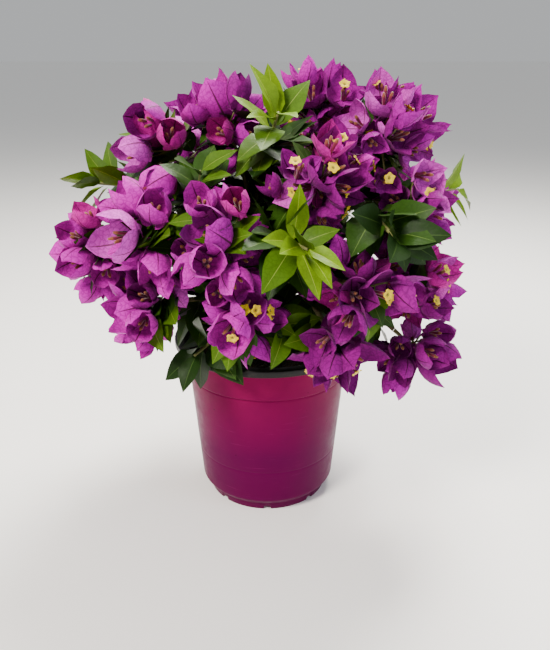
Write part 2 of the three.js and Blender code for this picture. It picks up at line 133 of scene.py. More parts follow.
LIP_PROFILE = [
    (LIP_INNER_RADIUS, RIM_TOP - WALL), (LIP_INNER_RADIUS, LIP_FOOT), (RIM_RADIUS, LIP_FOOT),
    (RIM_RADIUS, RIM_TOP),
]
POT_INSIDE = [
    (RIM_INNER_RADIUS, RIM_TOP), (RIM_INNER_RADIUS, RIM_TOP - WALL / 2),
    (COLLAR_FOOT_RADIUS - WALL, COLLAR_FOOT + WALL), (70.9, COLLAR_FOOT),
    (WALL_FOOT_RADIUS - WALL, WALL_FOOT + WALL / 2), (FOOT_TOP_RADIUS - WALL, FOOT_HEIGHT + WALL / 2),
    (FOOT_TOP_RADIUS - WALL, FLOOR_TOP), (0, FLOOR_TOP),
]
ROUNDED = {
    (RIM_RADIUS, RIM_TOP): 1, (RIM_INNER_RADIUS, RIM_TOP): 1, (RIM_RADIUS, LIP_FOOT): 0.6,
    (LIP_INNER_RADIUS, LIP_FOOT): 0.4, (FOOT_RADIUS, 0): 0.8, (FOOT_TOP_RADIUS, FOOT_HEIGHT): 0.8,
    (WALL_FOOT_RADIUS, WALL_FOOT): 1.6, (COLLAR_FOOT_RADIUS, COLLAR_EDGE): 0.5, (BOSS_RADIUS, 0): 0.5,
}


def linear(colour):
    """An sRGB hex colour as linear red, green, blue and alpha."""
    parts = [int(colour[i:i + 2], 16) / 255 for i in (1, 3, 5)]
    return [part / 12.92 if part <= 0.04045 else ((part + 0.055) / 1.055) ** 2.4 for part in parts] + [1]


def feed(node, inputs):
    """Gives a node's inputs their values. A value that is a socket is linked."""
    for name, value in inputs.items():
        if isinstance(value, bpy.types.NodeSocket):
            node.id_data.links.new(value, node.inputs[name])
        else:
            node.inputs[name].default_value = value


def add(tree, kind, inputs=None, **settings):
    """Adds a shader node with its inputs and its own settings, and returns its outputs."""
    made = tree.nodes.new("ShaderNode" + kind)
    for name, value in settings.items():
        setattr(made, name, value)
    feed(made, inputs or {})
    return made.outputs


def every(millimetres):
    """The texture scale that repeats a pattern at a real size."""
    return 1 / (millimetres * MM)


def material_of(name):
    """A new material, with its node tree and its Principled shader."""
    material = bpy.data.materials.new(name)
    material.use_nodes = True
    return material, material.node_tree, material.node_tree.nodes["Principled BSDF"]


def piece_of(bm, name, materials, nodes):
    """Makes a finished piece from a bmesh. It rides on the plant and stands for the CAD nodes."""
    mesh = bpy.data.meshes.new(name)
    for face in bm.faces:
        face.smooth = True
    bm.to_mesh(mesh)
    bm.free()
    for material in materials:
        mesh.materials.append(material)
    piece = bpy.data.objects.new(name, mesh)
    bpy.context.scene.collection.objects.link(piece)
    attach(piece, "root")
    if nodes:
        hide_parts(*nodes)
    return piece


def turned(profile, steps):
    """A closed skin: a profile of (radius, height) points, from axis to axis, spun about Z."""
    bm = bmesh.new()
    points = [bm.verts.new((radius * MM, 0, height * MM)) for radius, height in profile]
    edges = [bm.edges.new(pair) for pair in zip(points, points[1:])]
    bmesh.ops.spin(bm, geom=points + edges, cent=(0, 0, 0), axis=(0, 0, 1), angle=2 * math.pi,
                   steps=steps, use_merge=True)
    bmesh.ops.remove_doubles(bm, verts=bm.verts, dist=1e-6)
    bmesh.ops.recalc_face_normals(bm, faces=bm.faces)
    return bm


pot = turned(UNDERSIDE_PROFILE + WALL_PROFILE + LIP_PROFILE + POT_INSIDE, POT_STEPS)
for (radius, height), width in ROUNDED.items():
    ring = [e for e in pot.edges
            if all(abs(math.hypot(v.co.x, v.co.y) - radius * MM) < 1e-5
                   and abs(v.co.z - height * MM) < 1e-5 for v in e.verts)]
    bmesh.ops.bevel(pot, geom=ring, offset=width * MM, affect="EDGES", segments=3, profile=0.5, material=-1)
for vert in pot.verts:
    spread = math.hypot(vert.co.x, vert.co.y) / MM
    if vert.co.z < NOTCH_HEIGHT * MM and FOOT_INNER_RADIUS - 1 < spread < FOOT_RADIUS + 1:
        turn = math.atan2(vert.co.y, vert.co.x) + math.pi / 2
        off_centre = (turn + math.pi / NOTCHES) % (2 * math.pi / NOTCHES) - math.pi / NOTCHES
        if abs(off_centre) * spread < NOTCH_WIDTH / 2:
            vert.co.z = NOTCH_HEIGHT * MM
wall_radii, wall_heights = zip(*WALL_PROFILE)
for face in pot.faces:
    centre = face.calc_center_median() / MM
    inside = centre.xy.length < np.interp(centre.z, wall_heights, wall_radii) - WALL / 2
    if centre.z > LIP_FOOT - 0.2 or (inside and centre.z > FLOOR_TOP - 1):
        face.material_index = 1

# Moulded polypropylene, magenta and nearly matt: pinker near the rim and deeper low down. It has faint
# cloudy marks some 36 mm wide, rub marks about 1 mm high that run round it, dark specks of grit about
# 9 mm apart, and dust that dulls it. Its orange peel of 2.4 mm is drawn coarser than it is, to show.
magenta_plastic, tree, shader = material_of("magenta_polypropylene")
place = add(tree, "TexCoord")["Object"]
height = add(tree, "SeparateXYZ", {"Vector": place})["Z"]
rise = add(tree, "MapRange", {"Value": height, "From Min": 0.06, "From Max": 0.165})["Result"]
body_colour = add(tree, "MixRGB", {"Fac": rise, "Color1": linear("#520038"), "Color2": linear("#7A063E")})
cloud = add(tree, "TexNoise", {"Vector": place, "Scale": every(35.7), "Detail": 4, "Roughness": 0.6})
cloud_share = add(tree, "MapRange", {"Value": cloud["Fac"], "From Min": 0.45, "From Max": 0.75,
                                     "To Min": 0, "To Max": 0.3})["Result"]
clouded = add(tree, "MixRGB", {"Fac": cloud_share, "Color1": body_colour["Color"],
                               "Color2": linear("#440234")})["Color"]
ring_scale = (every(25), every(25), every(1.11))
ring_place = add(tree, "Mapping", {"Vector": place, "Scale": ring_scale})["Vector"]
rub = add(tree, "TexNoise", {"Vector": ring_place, "Scale": 1, "Detail": 3})["Fac"]
rub_share = add(tree, "MapRange", {"Value": rub, "From Min": 0.66, "From Max": 0.74,
                                   "To Min": 0, "To Max": 0.16})["Result"]
rubbed = add(tree, "MixRGB", {"Fac": rub_share, "Color1": clouded, "Color2": linear("#963070")})["Color"]
grit = add(tree, "TexVoronoi", {"Vector": place, "Scale": every(9.09), "Randomness": 1})
grit_pick = add(tree, "SeparateColor", {"Color": grit["Color"]})["Red"]
few = add(tree, "MapRange", {"Value": grit_pick, "From Min": 0.86, "From Max": 0.88})["Result"]
dot = add(tree, "MapRange", {"Value": grit["Distance"], "From Min": 0.05, "From Max": 0.09,
                             "To Min": 0.7, "To Max": 0})["Result"]
grit_share = add(tree, "Math", {0: few, 1: dot}, operation="MULTIPLY")["Value"]
specked = add(tree, "MixRGB", {"Fac": grit_share, "Color1": rubbed, "Color2": linear("#2A0A1E")})
dust = add(tree, "TexNoise", {"Vector": place, "Scale": every(11.1), "Detail": 6, "Roughness": 0.7})
dullness = add(tree, "MapRange", {"Value": dust["Fac"], "From Min": 0.35, "From Max": 0.7,
                                  "To Min": 0.3, "To Max": 0.5})["Result"]
peel = add(tree, "TexNoise", {"Vector": place, "Scale": every(2.38), "Detail": 2})["Fac"]
bump = add(tree, "Bump", {"Height": peel, "Strength": 0.12, "Distance": 0.0003})["Normal"]
feed(shader, {"Base Color": specked["Color"], "Roughness": dullness, "Normal": bump, "IOR": 1.49,
              "Specular IOR Level": 0.06, "Specular Tint": linear("#FF9AD8")})

# Moulded polypropylene, black: the inner layer and the rim, satin and greyed by specks of dust.
black_plastic, tree, shader = material_of("black_polypropylene")
place = add(tree, "TexCoord")["Object"]
speck = add(tree, "TexNoise", {"Vector": place, "Scale": every(3.85), "Detail": 5, "Roughness": 0.7})["Fac"]
dusty = add(tree, "MapRange", {"Value": speck, "From Min": 0.5, "From Max": 0.8})["Result"]
greyed = add(tree, "MixRGB", {"Fac": dusty, "Color1": linear("#0E0E10"), "Color2": linear("#2E2A28")})
satin = add(tree, "MapRange", {"Value": speck, "To Min": 0.3, "To Max": 0.6})["Result"]
feed(shader, {"Base Color": greyed["Color"], "Roughness": satin, "IOR": 1.49, "Specular IOR Level": 0.22})
piece_of(pot, "nursery_pot", [magenta_plastic, black_plastic], ["pot"])

# Compost
# Moist dark potting compost, filled to a little under the collar's top and settled unevenly. Its
# crumbs are 2 to 4 mm, with bark fibres and a few white grains of perlite on top.
GAP = 0.3
SOIL_LEVEL = 138
SOIL_ROUGHNESS = 1.3
SOIL_EDGE = 74.2
TRUNK_PATCH = 12
CRUMB_STEP = 1.3
COMPOST_STEPS = 200
CRUMB_HEIGHT = 1.1
WAVE_ACROSS = 0.09
WAVE_BACK = 0.11
WAVE_BOTH = 0.05
SCATTER_FROM = 14
SCATTER_TO = 70
PERLITE_GRAINS = 34
GRAIN_RADIUS = 0.7
GRAIN_RANGE = 0.9
FIBRES = 150
FIBRE_RADIUS = 0.55
FIBRE_TIP_RADIUS = 0.25
FIBRE_LENGTH = 2.5
FIBRE_RANGE = 4
PERLITE_SEEN = [(-2.8, -10.1), (-4.8, -1), (25.2, -36.2)]


def seeded(seed):
    """Random numbers from 0 to 1 that come out the same on every run."""
    state = seed

    def draw():
        nonlocal state
        state = (state + 0x6D2B79F5) & 0xFFFFFFFF
        mixed = ((state ^ (state >> 15)) * (1 | state)) & 0xFFFFFFFF
        turned_bits = ((mixed ^ (mixed >> 7)) * (61 | mixed)) & 0xFFFFFFFF
        mixed = ((mixed + turned_bits) & 0xFFFFFFFF) ^ mixed
        return (mixed ^ (mixed >> 14)) / 4294967296

    return draw


def soil_height(x, y):
    """The compost's surface: broad hollows, and crumbs 3 mm and 1 mm wide away from the trunk."""
    lump = math.sin(x * WAVE_ACROSS + 1) + math.cos(y * WAVE_BACK + x * WAVE_BOTH)
    crumbs = noise.noise(Vector((x, y, 0)) * 0.33) + 0.6 * noise.noise(Vector((x, y, 9)) * 0.8)
    share = min(1, max(0, (math.hypot(x, y) - TRUNK_PATCH) / 4))
    return SOIL_LEVEL + share * (SOIL_ROUGHNESS * (lump / 2 - 1) + CRUMB_HEIGHT * crumbs)


side_profile = [(max(0, radius - GAP), height + GAP) for radius, height in POT_INSIDE[:1:-1]]
top_profile = [(radius, SOIL_LEVEL) for radius in np.arange(SOIL_EDGE, 0, -CRUMB_STEP)] + [(0, SOIL_LEVEL)]
compost = turned(side_profile + top_profile, COMPOST_STEPS)
for vert in compost.verts:
    if vert.co.z > (SOIL_LEVEL - 0.1) * MM:
        vert.co.z = soil_height(vert.co.x / MM, vert.co.y / MM) * MM

# Moist compost: dark brown crumbs of uneven tone, 2.6 mm wide, matt, with damp patches of 17 mm.
compost_stuff, tree, shader = material_of("moist_compost")
place = add(tree, "TexCoord")["Object"]
crumb = add(tree, "TexVoronoi", {"Vector": place, "Scale": every(2.63), "Randomness": 1})
crumb_tone = add(tree, "SeparateColor", {"Color": crumb["Color"]})["Red"]
damp = add(tree, "TexNoise", {"Vector": place, "Scale": every(16.7), "Detail": 5})["Fac"]
earth = add(tree, "MixRGB", {"Fac": crumb_tone, "Color1": linear("#1A140F"), "Color2": linear("#4E3C2D")})
damp_earth = add(tree, "MixRGB", {"Fac": damp, "Color1": earth["Color"], "Color2": linear("#8A7C70")},
                 blend_type="MULTIPLY")["Color"]
crumbled = add(tree, "Bump", {"Height": crumb["Distance"], "Strength": 0.8, "Distance": 0.0012})["Normal"]
feed(shader, {"Base Color": damp_earth, "Normal": crumbled, "Roughness": 0.95})
piece_of(compost, "compost", [compost_stuff], ["soil"])

# Perlite and bark fibres lie half sunk in the compost, all of them inside the rim.
draw = seeded(71)
grains = bmesh.new()
fibres = bmesh.new()
spots = list(PERLITE_SEEN)
while len(spots) < PERLITE_GRAINS + FIBRES:
    turn = 2 * math.pi * draw()
    spread = SCATTER_FROM + (SCATTER_TO - SCATTER_FROM) * math.sqrt(draw())
    spots.append((spread * math.cos(turn), spread * math.sin(turn)))
for i, (x, y) in enumerate(spots):
    spot = Vector((x, y, soil_height(x, y))) * MM
    spin = Matrix.Rotation(2 * math.pi * draw(), 4, "Z") @ Matrix.Rotation(0.5 * draw(), 4, "X")
    if i < PERLITE_GRAINS:
        size = (GRAIN_RADIUS + GRAIN_RANGE * draw()) * MM
        grain = bmesh.ops.create_icosphere(grains, subdivisions=2, radius=size)["verts"]
        for vert in grain:
            vert.co *= 1 + 0.35 * noise.noise(vert.co * 900 + Vector((i, 0, 0)))
        bmesh.ops.scale(grains, vec=(1, 0.8, 0.65), verts=grain)
        bmesh.ops.transform(grains, matrix=Matrix.Translation(spot) @ spin, verts=grain)
    else:
        length = (FIBRE_LENGTH + FIBRE_RANGE * draw()) * MM
        fibre = bmesh.ops.create_cone(fibres, cap_ends=True, segments=5, radius1=FIBRE_RADIUS * MM,
                                      radius2=FIBRE_TIP_RADIUS * MM, depth=length)["verts"]
        bmesh.ops.rotate(fibres, matrix=Matrix.Rotation(math.pi / 2, 3, "Y"), verts=fibre)
        bmesh.ops.scale(fibres, vec=(1, 1.6, 0.8), verts=fibre)
        bmesh.ops.transform(fibres, matrix=Matrix.Translation(spot) @ spin, verts=fibre)

# Perlite: a puffed volcanic glass, chalky white and finely pitted, the palest specks in the pot.
perlite_stuff, tree, shader = material_of("perlite")
place = add(tree, "TexCoord")["Object"]
pores = add(tree, "TexNoise", {"Vector": place, "Scale": every(0.625), "Detail": 3})["Fac"]
chalky = add(tree, "MixRGB", {"Fac": pores, "Color1": linear("#A9A49A"), "Color2": linear("#EFEDE6")})
feed(shader, {"Base Color": chalky["Color"], "Roughness": 0.9})
piece_of(grains, "perlite", [perlite_stuff], [])

# Composted bark: fibrous, brown and dull, a little lighter than the crumbs that it lies on.
fibre_stuff, tree, shader = material_of("composted_bark")
place = add(tree, "TexCoord")["Object"]
strands = add(tree, "TexNoise", {"Vector": place, "Scale": every(1.43), "Detail": 3})["Fac"]
brown = add(tree, "MixRGB", {"Fac": strands, "Color1": linear("#1A120C"), "Color2": linear("#5B432C")})
feed(shader, {"Base Color": brown["Color"], "Roughness": 0.9})
piece_of(fibres, "bark_fibres", [fibre_stuff], [])

# Trunk and boughs
# One short woody trunk with a flared foot, and a bough to each mass of foliage. The wood is grey-brown
# and furrowed at the foot and turns olive and smooth towards the boughs' tips.
TRUNK_TOP = 220
TRUNK_RADIUS = 6.4
TRUNK_TIP_RADIUS = 4.2
TRUNK_FOOT_X = -3
TRUNK_TIP_X = 2
TRUNK_TIP_Y = 2
ROOT_FLARE = 3.6
FLARE_FADE = 14
BOUGH_RADIUS = 2.9
BOUGH_TIP_RADIUS = 1.9
BOUGH_COLLAR = 0.35
COLLAR_FADE = 16
BEND_PLACE = 0.4
BEND_RISE = 0.2
BOUGH_SHORTFALL = 0.55
BOUGH_MARGIN = 3
CHILD_SHARE = 0.8
THICKENING = 0.002
STEM_PAST_CENTRE = {"flowers": 0.12, "leaves": 0.35}
OVERREACH = 1.22
TRUNK_FURROWS = 0.16
BOUGH_FURROWS = 0.1
BOUGH_USUAL_LENGTH = 130
FURROW_LENGTH = 14
KNOT_LENGTH = 5
UP = Vector((0, 0, 1))
FRONT = Vector((0, -1, 0))
# Each mass: its kind and name, its place as a turn from +X, a distance out and a height, its radius,
# its first heads and leaves, the limb that its bough leaves, and the share of that limb where it does
MASSES = [
    ("flowers", "upper_mid_left", -151, 33, 338, 44, 6, 4, "trunk", 0.96),
    ("flowers", "top_right", 18, 48, 348, 43, 6, 4, "upper_mid_left", 0.3),
    ("leaves", "top_shoot", -83, 56, 346, 40, 0, 10, "upper_mid_left", 0.5),
    ("flowers", "upper_left", -169, 82, 323, 44, 5, 5, "trunk", 0.86),
    ("leaves", "left_shoot", -178, 130, 293, 44, 0, 10, "upper_left", 0.35),
    ("flowers", "left_upper", -135, 121, 269, 43, 6, 4, "trunk", 0.72),
    ("flowers", "left_outer", -161, 143, 248, 41, 4, 3, "left_upper", 0.42),
    ("flowers", "left_low", -143, 114, 205, 40, 4, 4, "trunk", 0.38),
    ("flowers", "centre_right", -64, 89, 305, 44, 6, 4, "trunk", 0.82),
    ("flowers", "centre_left", -104, 114, 270, 43, 6, 4, "trunk", 0.64),
    ("leaves", "centre_shoot", -80, 138, 275, 38, 0, 9, "centre_left", 0.5),
    ("flowers", "low_centre", -100, 112, 215, 38, 4, 3, "trunk", 0.46),
    ("leaves", "low_left", -124, 90, 173, 38, 0, 7, "trunk", 0.28),
    ("flowers", "right_top", -14, 98, 329, 49, 6, 4, "trunk", 0.91),
    ("flowers", "right_mid", -24, 119, 283, 43, 6, 4, "right_top", 0.35),
    ("leaves", "right_shoot", -50, 142, 276, 38, 0, 8, "right_mid", 0.4),
    ("flowers", "mid_right", -57, 131, 236, 44, 5, 4, "trunk", 0.58),
    ("flowers", "low_right", -62, 114, 189, 38, 4, 3, "mid_right", 0.3),
    ("flowers", "right_outer", -22, 132, 221, 43, 6, 4, "trunk", 0.5),
    ("flowers", "right_low", -27, 138, 168, 39, 4, 3, "right_outer", 0.35),
    ("flowers", "back_upper_left", 128, 85, 326, 48, 5, 3, "trunk", 0.9),
    ("flowers", "back_upper_right", 59, 98, 315, 48, 5, 3, "trunk", 0.85),
    ("flowers", "back_left", 152, 122, 258, 48, 4, 3, "trunk", 0.66),
    ("flowers", "back_right", 22, 138, 262, 48, 4, 3, "trunk", 0.73),
    ("flowers", "back_centre", 92, 122, 258, 48, 4, 3, "trunk", 0.56),
    ("leaves", "back_low_left", 128, 112, 196, 46, 0, 7, "trunk", 0.42),
    ("flowers", "back_low_right", 57, 118, 196, 46, 4, 2, "trunk", 0.36),
    ("leaves", "inner", 90, 6, 278, 44, 0, 7, "trunk", 1),
]
masses = []
for number, (kind, name, turn, out, up, radius, heads, leaves, parent, along) in enumerate(MASSES):
    angle = math.radians(turn)
    masses.append({
        "kind": kind, "name": name, "node": kind + "_" + name, "seed": number + 1,
        "radius": radius, "heads": heads, "leaves": leaves, "parent": parent, "along": along,
        "centre": Vector((out * math.cos(angle), out * math.sin(angle), up)),
    })


def bent(start, bend, end):
    """A curve pulled towards its bend: a function from a share of it to a point and a direction."""
    def at(share):
        point = start * (1 - share) ** 2 + bend * (2 * share * (1 - share)) + end * share ** 2
        return point, ((bend - start) * (1 - share) + (end - bend) * share).normalized()
    return at


def keeps_to_space(point, mass, margin):
    """A mass keeps to the points nearer to it than to any other mass, within its reach."""
    own = (point - mass["centre"]).length_squared - mass["radius"] ** 2
    if (point - mass["centre"]).length > mass["radius"] * OVERREACH:
        return False
    for other in masses:
        if other is mass:
            continue
        lead = (point - other["centre"]).length_squared - other["radius"] ** 2 - own
        if lead <= 2 * margin * (other["centre"] - mass["centre"]).length:
            return False
    return True


def tapered(radius, tip_radius):
    """A function that gives a limb's radius at a share of its length."""
    return lambda share: radius + (tip_radius - radius) * share


def trunk_radius(share):
    """The trunk's radius with its root flare, which fades out above the compost."""
    return tapered(TRUNK_RADIUS, TRUNK_TIP_RADIUS)(share) + ROOT_FLARE * math.exp(-FLARE_FADE * share)


trunk_curve = bent(Vector((TRUNK_FOOT_X, 0, SOIL_LEVEL + GAP)),
                   Vector((TRUNK_FOOT_X, 0, (SOIL_LEVEL + TRUNK_TOP) / 2)),
                   Vector((TRUNK_TIP_X, TRUNK_TIP_Y, TRUNK_TOP)))
limbs = {"trunk": (trunk_curve, trunk_radius)}
for mass in masses:
    parent_curve, parent_radius = limbs[mass["parent"]]
    centre = mass["centre"]
    start = parent_curve(mass["along"])[0]
    bend = start.lerp(centre, BEND_PLACE)
    bend.z += BEND_RISE * math.hypot(centre.x - start.x, centre.y - start.y)
    mass["axis"] = (centre - bend).normalized()
    back = BOUGH_SHORTFALL * mass["radius"]
    end = centre - mass["axis"] * back
    while not keeps_to_space(end, mass, BOUGH_MARGIN) and back > 1:
        back -= 1
        end = centre - mass["axis"] * back
    thick = min(BOUGH_RADIUS, CHILD_SHARE * parent_radius(mass["along"]))
    thick += (centre - start).length * THICKENING
    mass["bough"] = bent(start, bend, end)
    foot = end + mass["axis"] * GAP
    top = centre + mass["axis"] * STEM_PAST_CENTRE[mass["kind"]] * mass["radius"]
    mass["stem"] = bent(foot, foot.lerp(top, 0.5), top)
    limbs[mass["name"]] = (mass["bough"], tapered(thick, BOUGH_TIP_RADIUS))


def tube_of(sides, steps):
    """A plain unit tube along Z, closed at both ends, as a mesh to be planted many times."""
    bm = bmesh.new()
    bmesh.ops.create_cone(bm, cap_ends=True, segments=sides, radius1=1, radius2=1, depth=1)
    lengthwise = [e for e in bm.edges if abs(e.verts[0].co.z - e.verts[1].co.z) > 0.5]
    bmesh.ops.subdivide_edges(bm, edges=lengthwise, cuts=steps - 1)
    share_map = bm.loops.layers.uv.new("UVMap")
    for face in bm.faces:
        for corner in face.loops:
            co = corner.vert.co
            corner[share_map].uv = (co.z + 0.5, math.atan2(co.y, co.x) / (2 * math.pi) + 0.5)
    mesh = bpy.data.meshes.new("tube")
    bm.to_mesh(mesh)
    bm.free()
    return mesh


def plant(bm, template, move):
    """Adds a copy of a template mesh, with each of its points moved."""
    first = len(bm.verts)
    bm.from_mesh(template)
    bm.verts.ensure_lookup_table()
    for i in range(first, len(bm.verts)):
        bm.verts[i].co = move(bm.verts[i].co)


def along_limb(curve, radius_at, relief=None):
    """Moves a unit tube's points on to a limb. Relief is a share of the radius at a point."""
    start, end = curve(0)[1], curve(1)[1]
    across = start.cross(end)
    if across.length < 1e-3:
        across = start.cross(UP if abs(start.z) < 0.9 else FRONT)
    across.normalize()
    rings = {}

    def move(co):
        share = round(co.z + 0.5, 5)
        if share not in rings:
            point, ahead = curve(share)
            rings[share] = (point, ahead.cross(across), radius_at(share))
        point, normal, radius = rings[share]
        swell = relief(co, share) if relief else 1
        return (point + (normal * co.x + across * co.y) * radius * swell) * MM

    return move


def furrows(seed, depth, length):
    """Bark relief as a share of a limb's radius: long shallow furrows and knots. The seed shifts them."""
    def relief(co, share):
        furrow = Vector((co.x * 2.2, co.y * 2.2, share * length / FURROW_LENGTH + seed * 7.3))
        knot = Vector((co.x, co.y, share * length / KNOT_LENGTH + seed * 3.1))
        return 1 + depth * noise.noise(furrow * 1.7) + 0.6 * depth * noise.noise(knot * 2.3)
    return relief


def bough_swell(radius_at):
    """A bough's radius with the collar that it has where it leaves its parent limb."""
    return lambda share: radius_at(share) * (1 + BOUGH_COLLAR * math.exp(-COLLAR_FADE * share))


wood = bmesh.new()
wood.loops.layers.uv.new("UVMap")
trunk_relief = furrows(0, TRUNK_FURROWS, TRUNK_TOP - SOIL_LEVEL)
plant(wood, tube_of(sides=28, steps=60), along_limb(trunk_curve, trunk_radius, trunk_relief))
bough_tube = tube_of(sides=10, steps=26)
for mass in masses:
    radius_at = bough_swell(limbs[mass["name"]][1])
    bough_relief = furrows(mass["seed"], BOUGH_FURROWS, BOUGH_USUAL_LENGTH)
    plant(wood, bough_tube, along_limb(mass["bough"], radius_at, bough_relief))

# Bark: dry and dull, with streaks 6 mm long and 1.7 mm wide. The old wood is grey-brown and the young
# wood olive, and the ridges between the streaks catch the light.
bark_stuff, tree, shader = material_of("young_bark")
place = add(tree, "TexCoord")["Object"]
height = add(tree, "SeparateXYZ", {"Vector": place})["Z"]
age = add(tree, "MapRange", {"Value": height, "From Min": 0.15, "From Max": 0.25})["Result"]
streak_scale = (every(1.667), every(1.667), every(6.25))
streak_place = add(tree, "Mapping", {"Vector": place, "Scale": streak_scale})["Vector"]
streak = add(tree, "TexNoise", {"Vector": streak_place, "Scale": 1, "Detail": 5, "Roughness": 0.65})
ridge = add(tree, "MapRange", {"Value": streak["Fac"], "From Min": 0.35, "From Max": 0.68})["Result"]
old_wood = add(tree, "MixRGB", {"Fac": ridge, "Color1": linear("#3A2B1E"), "Color2": linear("#8B7558")})
new_wood = add(tree, "MixRGB", {"Fac": ridge, "Color1": linear("#3B3F20"), "Color2": linear("#71723A")})
aged = add(tree, "MixRGB", {"Fac": age, "Color1": old_wood["Color"], "Color2": new_wood["Color"]})
bark_bump = add(tree, "Bump", {"Height": streak["Fac"], "Strength": 0.7, "Distance": 0.0008})["Normal"]
feed(shader, {"Base Color": aged["Color"], "Normal": bark_bump, "Roughness": 0.8})
limb_nodes = ["trunk"] + ["bough_" + mass["name"] for mass in masses]
piece_of(wood, "trunk_and_boughs", [bark_stuff], limb_nodes)

# Flower heads and leaves, placed
# A head of three bracts grows at the end of each twig, and leaves stand round the stems. They are tried
# in the order of the solids' own rule, and kept where a solid has its tips: at corners of its mesh.
BRACT_LENGTH = 38
TUBE_RADIUS = 2
LEAF_LENGTH = 50
HEAD_TRIES = 1100
HEAD_SPREAD = 1.8
HEAD_DEPTH = 0.9
HEAD_PULL = 0.5
HEAD_LEAN = 0.8
BRACT_OPEN = 28
BRACT_OPEN_RANGE = 15
BRACT_LONGEST = 1.1
BRACT_SHRINK = 0.45
BRACT_RANGE = 0.14
BRACT_ROOT_OUT = 0.3
BRACT_ROOT_UP = 0.4
TWIG_HIGHEST = 0.96
TWIG_RANGE = 0.8
LEAF_TRIES = 30
LEAF_LOWEST = 0.15
LEAF_SPREAD = 1.45
LEAF_SPREAD_DROP = 0.95
LEAF_SPREAD_RANGE = 0.5
LEAF_SHORTEST = 0.88
LEAF_RANGE = 0.32
LEAF_SHORTENING = 0.35
LEAF_SAG = 0.4
LEAF_ON_TWIG = 0.3
LEAF_ON_TWIG_RANGE = 0.5
LEAF_FACE = 0.8
LEAF_DROOP = 0.22
GOLDEN = math.pi * (3 - math.sqrt(5))
TIP_TOLERANCE = 0.3


def tilted(axis, angle, turn):
    """A direction at an angle from an axis, turned round it."""
    side = axis.cross(UP if abs(axis.z) < 0.9 else FRONT).normalized()
    lean = side * math.cos(turn) + axis.cross(side) * math.sin(turn)
    return axis * math.cos(angle) + lean * math.sin(angle)


def blade_frame(root, along, face):
    """A frame for a blade: X along it, Z out of its upper face."""
    side = face.cross(along).normalized()
    upper = along.cross(side)
    return Matrix.Translation(root) @ Matrix((along, side, upper)).transposed().to_4x4()


def head_try(mass, draw, i, tries, lean_share=HEAD_LEAN, opened=BRACT_OPEN):
    """The head of one try: its root, axis, bract length and the frames of its three bracts."""
    spread = math.acos(1 - HEAD_SPREAD * i / tries)
    outward = tilted(mass["axis"], spread, i * GOLDEN)
    depth = HEAD_DEPTH * draw()
    lean = Vector((draw() - 0.5, draw() - 0.5, draw() - 0.5))
    roll = draw() * 2 * math.pi
    open_angle = math.radians(opened + BRACT_OPEN_RANGE * draw())
    length = BRACT_LENGTH * (BRACT_LONGEST - BRACT_SHRINK * i / tries - BRACT_RANGE * draw())
    root = mass["centre"] + outward * depth * mass["radius"]
    axis = (outward + mass["axis"] * HEAD_PULL + lean * lean_share).normalized()
    frames = []
    for side in range(3):
        turn = roll + side * 2 * math.pi / 3
        out = tilted(axis, math.pi / 2, turn) * BRACT_ROOT_OUT * TUBE_RADIUS
        node = root + out + axis * BRACT_ROOT_UP * TUBE_RADIUS
        frames.append(blade_frame(node, tilted(axis, open_angle, turn), axis))
    return {"root": root, "axis": axis, "roll": roll, "length": length, "frames": frames, "mass": mass,
            "first": False}


def leaf_of(place_frame, length, share, mass, mix):
    """A leaf: its frame and length, how far up its shoot it sits, its mass, and its mix of tints."""
    return {"frame": place_frame, "length": length, "share": share, "mass": mass, "mix": mix}


def leaf_try(mass, draw, i, tries, heads):
    """The leaf of one try, on the stem or on a head's twig."""
    share = LEAF_LOWEST + (1 - LEAF_LOWEST) * (i + 0.5) / tries
    spread = LEAF_SPREAD - LEAF_SPREAD_DROP * share + LEAF_SPREAD_RANGE * (draw() - 0.5)
    length = LEAF_LENGTH * (LEAF_SHORTEST + LEAF_RANGE * draw()) * (1 - LEAF_SHORTENING * share)
    pick = math.floor(draw() * 2 * len(heads))
    turn = i * GOLDEN + draw()
    along = tilted(mass["axis"], spread, turn)
    along.z -= LEAF_SAG * (1 - share)
    along.normalize()
    if pick < len(heads):
        root = heads[pick]["from"].lerp(heads[pick]["root"], LEAF_ON_TWIG + LEAF_ON_TWIG_RANGE * share)
    else:
        root = mass["stem"](share)[0]
    place_frame = blade_frame(root, along, mass["axis"] + UP * LEAF_FACE)
    return leaf_of(place_frame, length, share, mass, mass["name"])


def bract_marks(head):
    """Points that show where a head's bracts are: the tip, middle and sides of each."""
    reach = head["length"]
    spots = [(1, 0, 0), (0.5, 0, -0.13), (0.45, 0.38, -0.06), (0.45, -0.38, -0.06)]
    return [place_frame @ (Vector(spot) * reach) for place_frame in head["frames"] for spot in spots]


def leaf_marks(leaf):
    """Points that show where a leaf is: its tip, middle and sides."""
    spots = [(1, 0, -LEAF_DROOP), (0.5, 0, -0.05), (0.42, 0.26, 0.03), (0.42, -0.26, 0.03)]
    return [leaf["frame"] @ (Vector(spot) * leaf["length"]) for spot in spots]


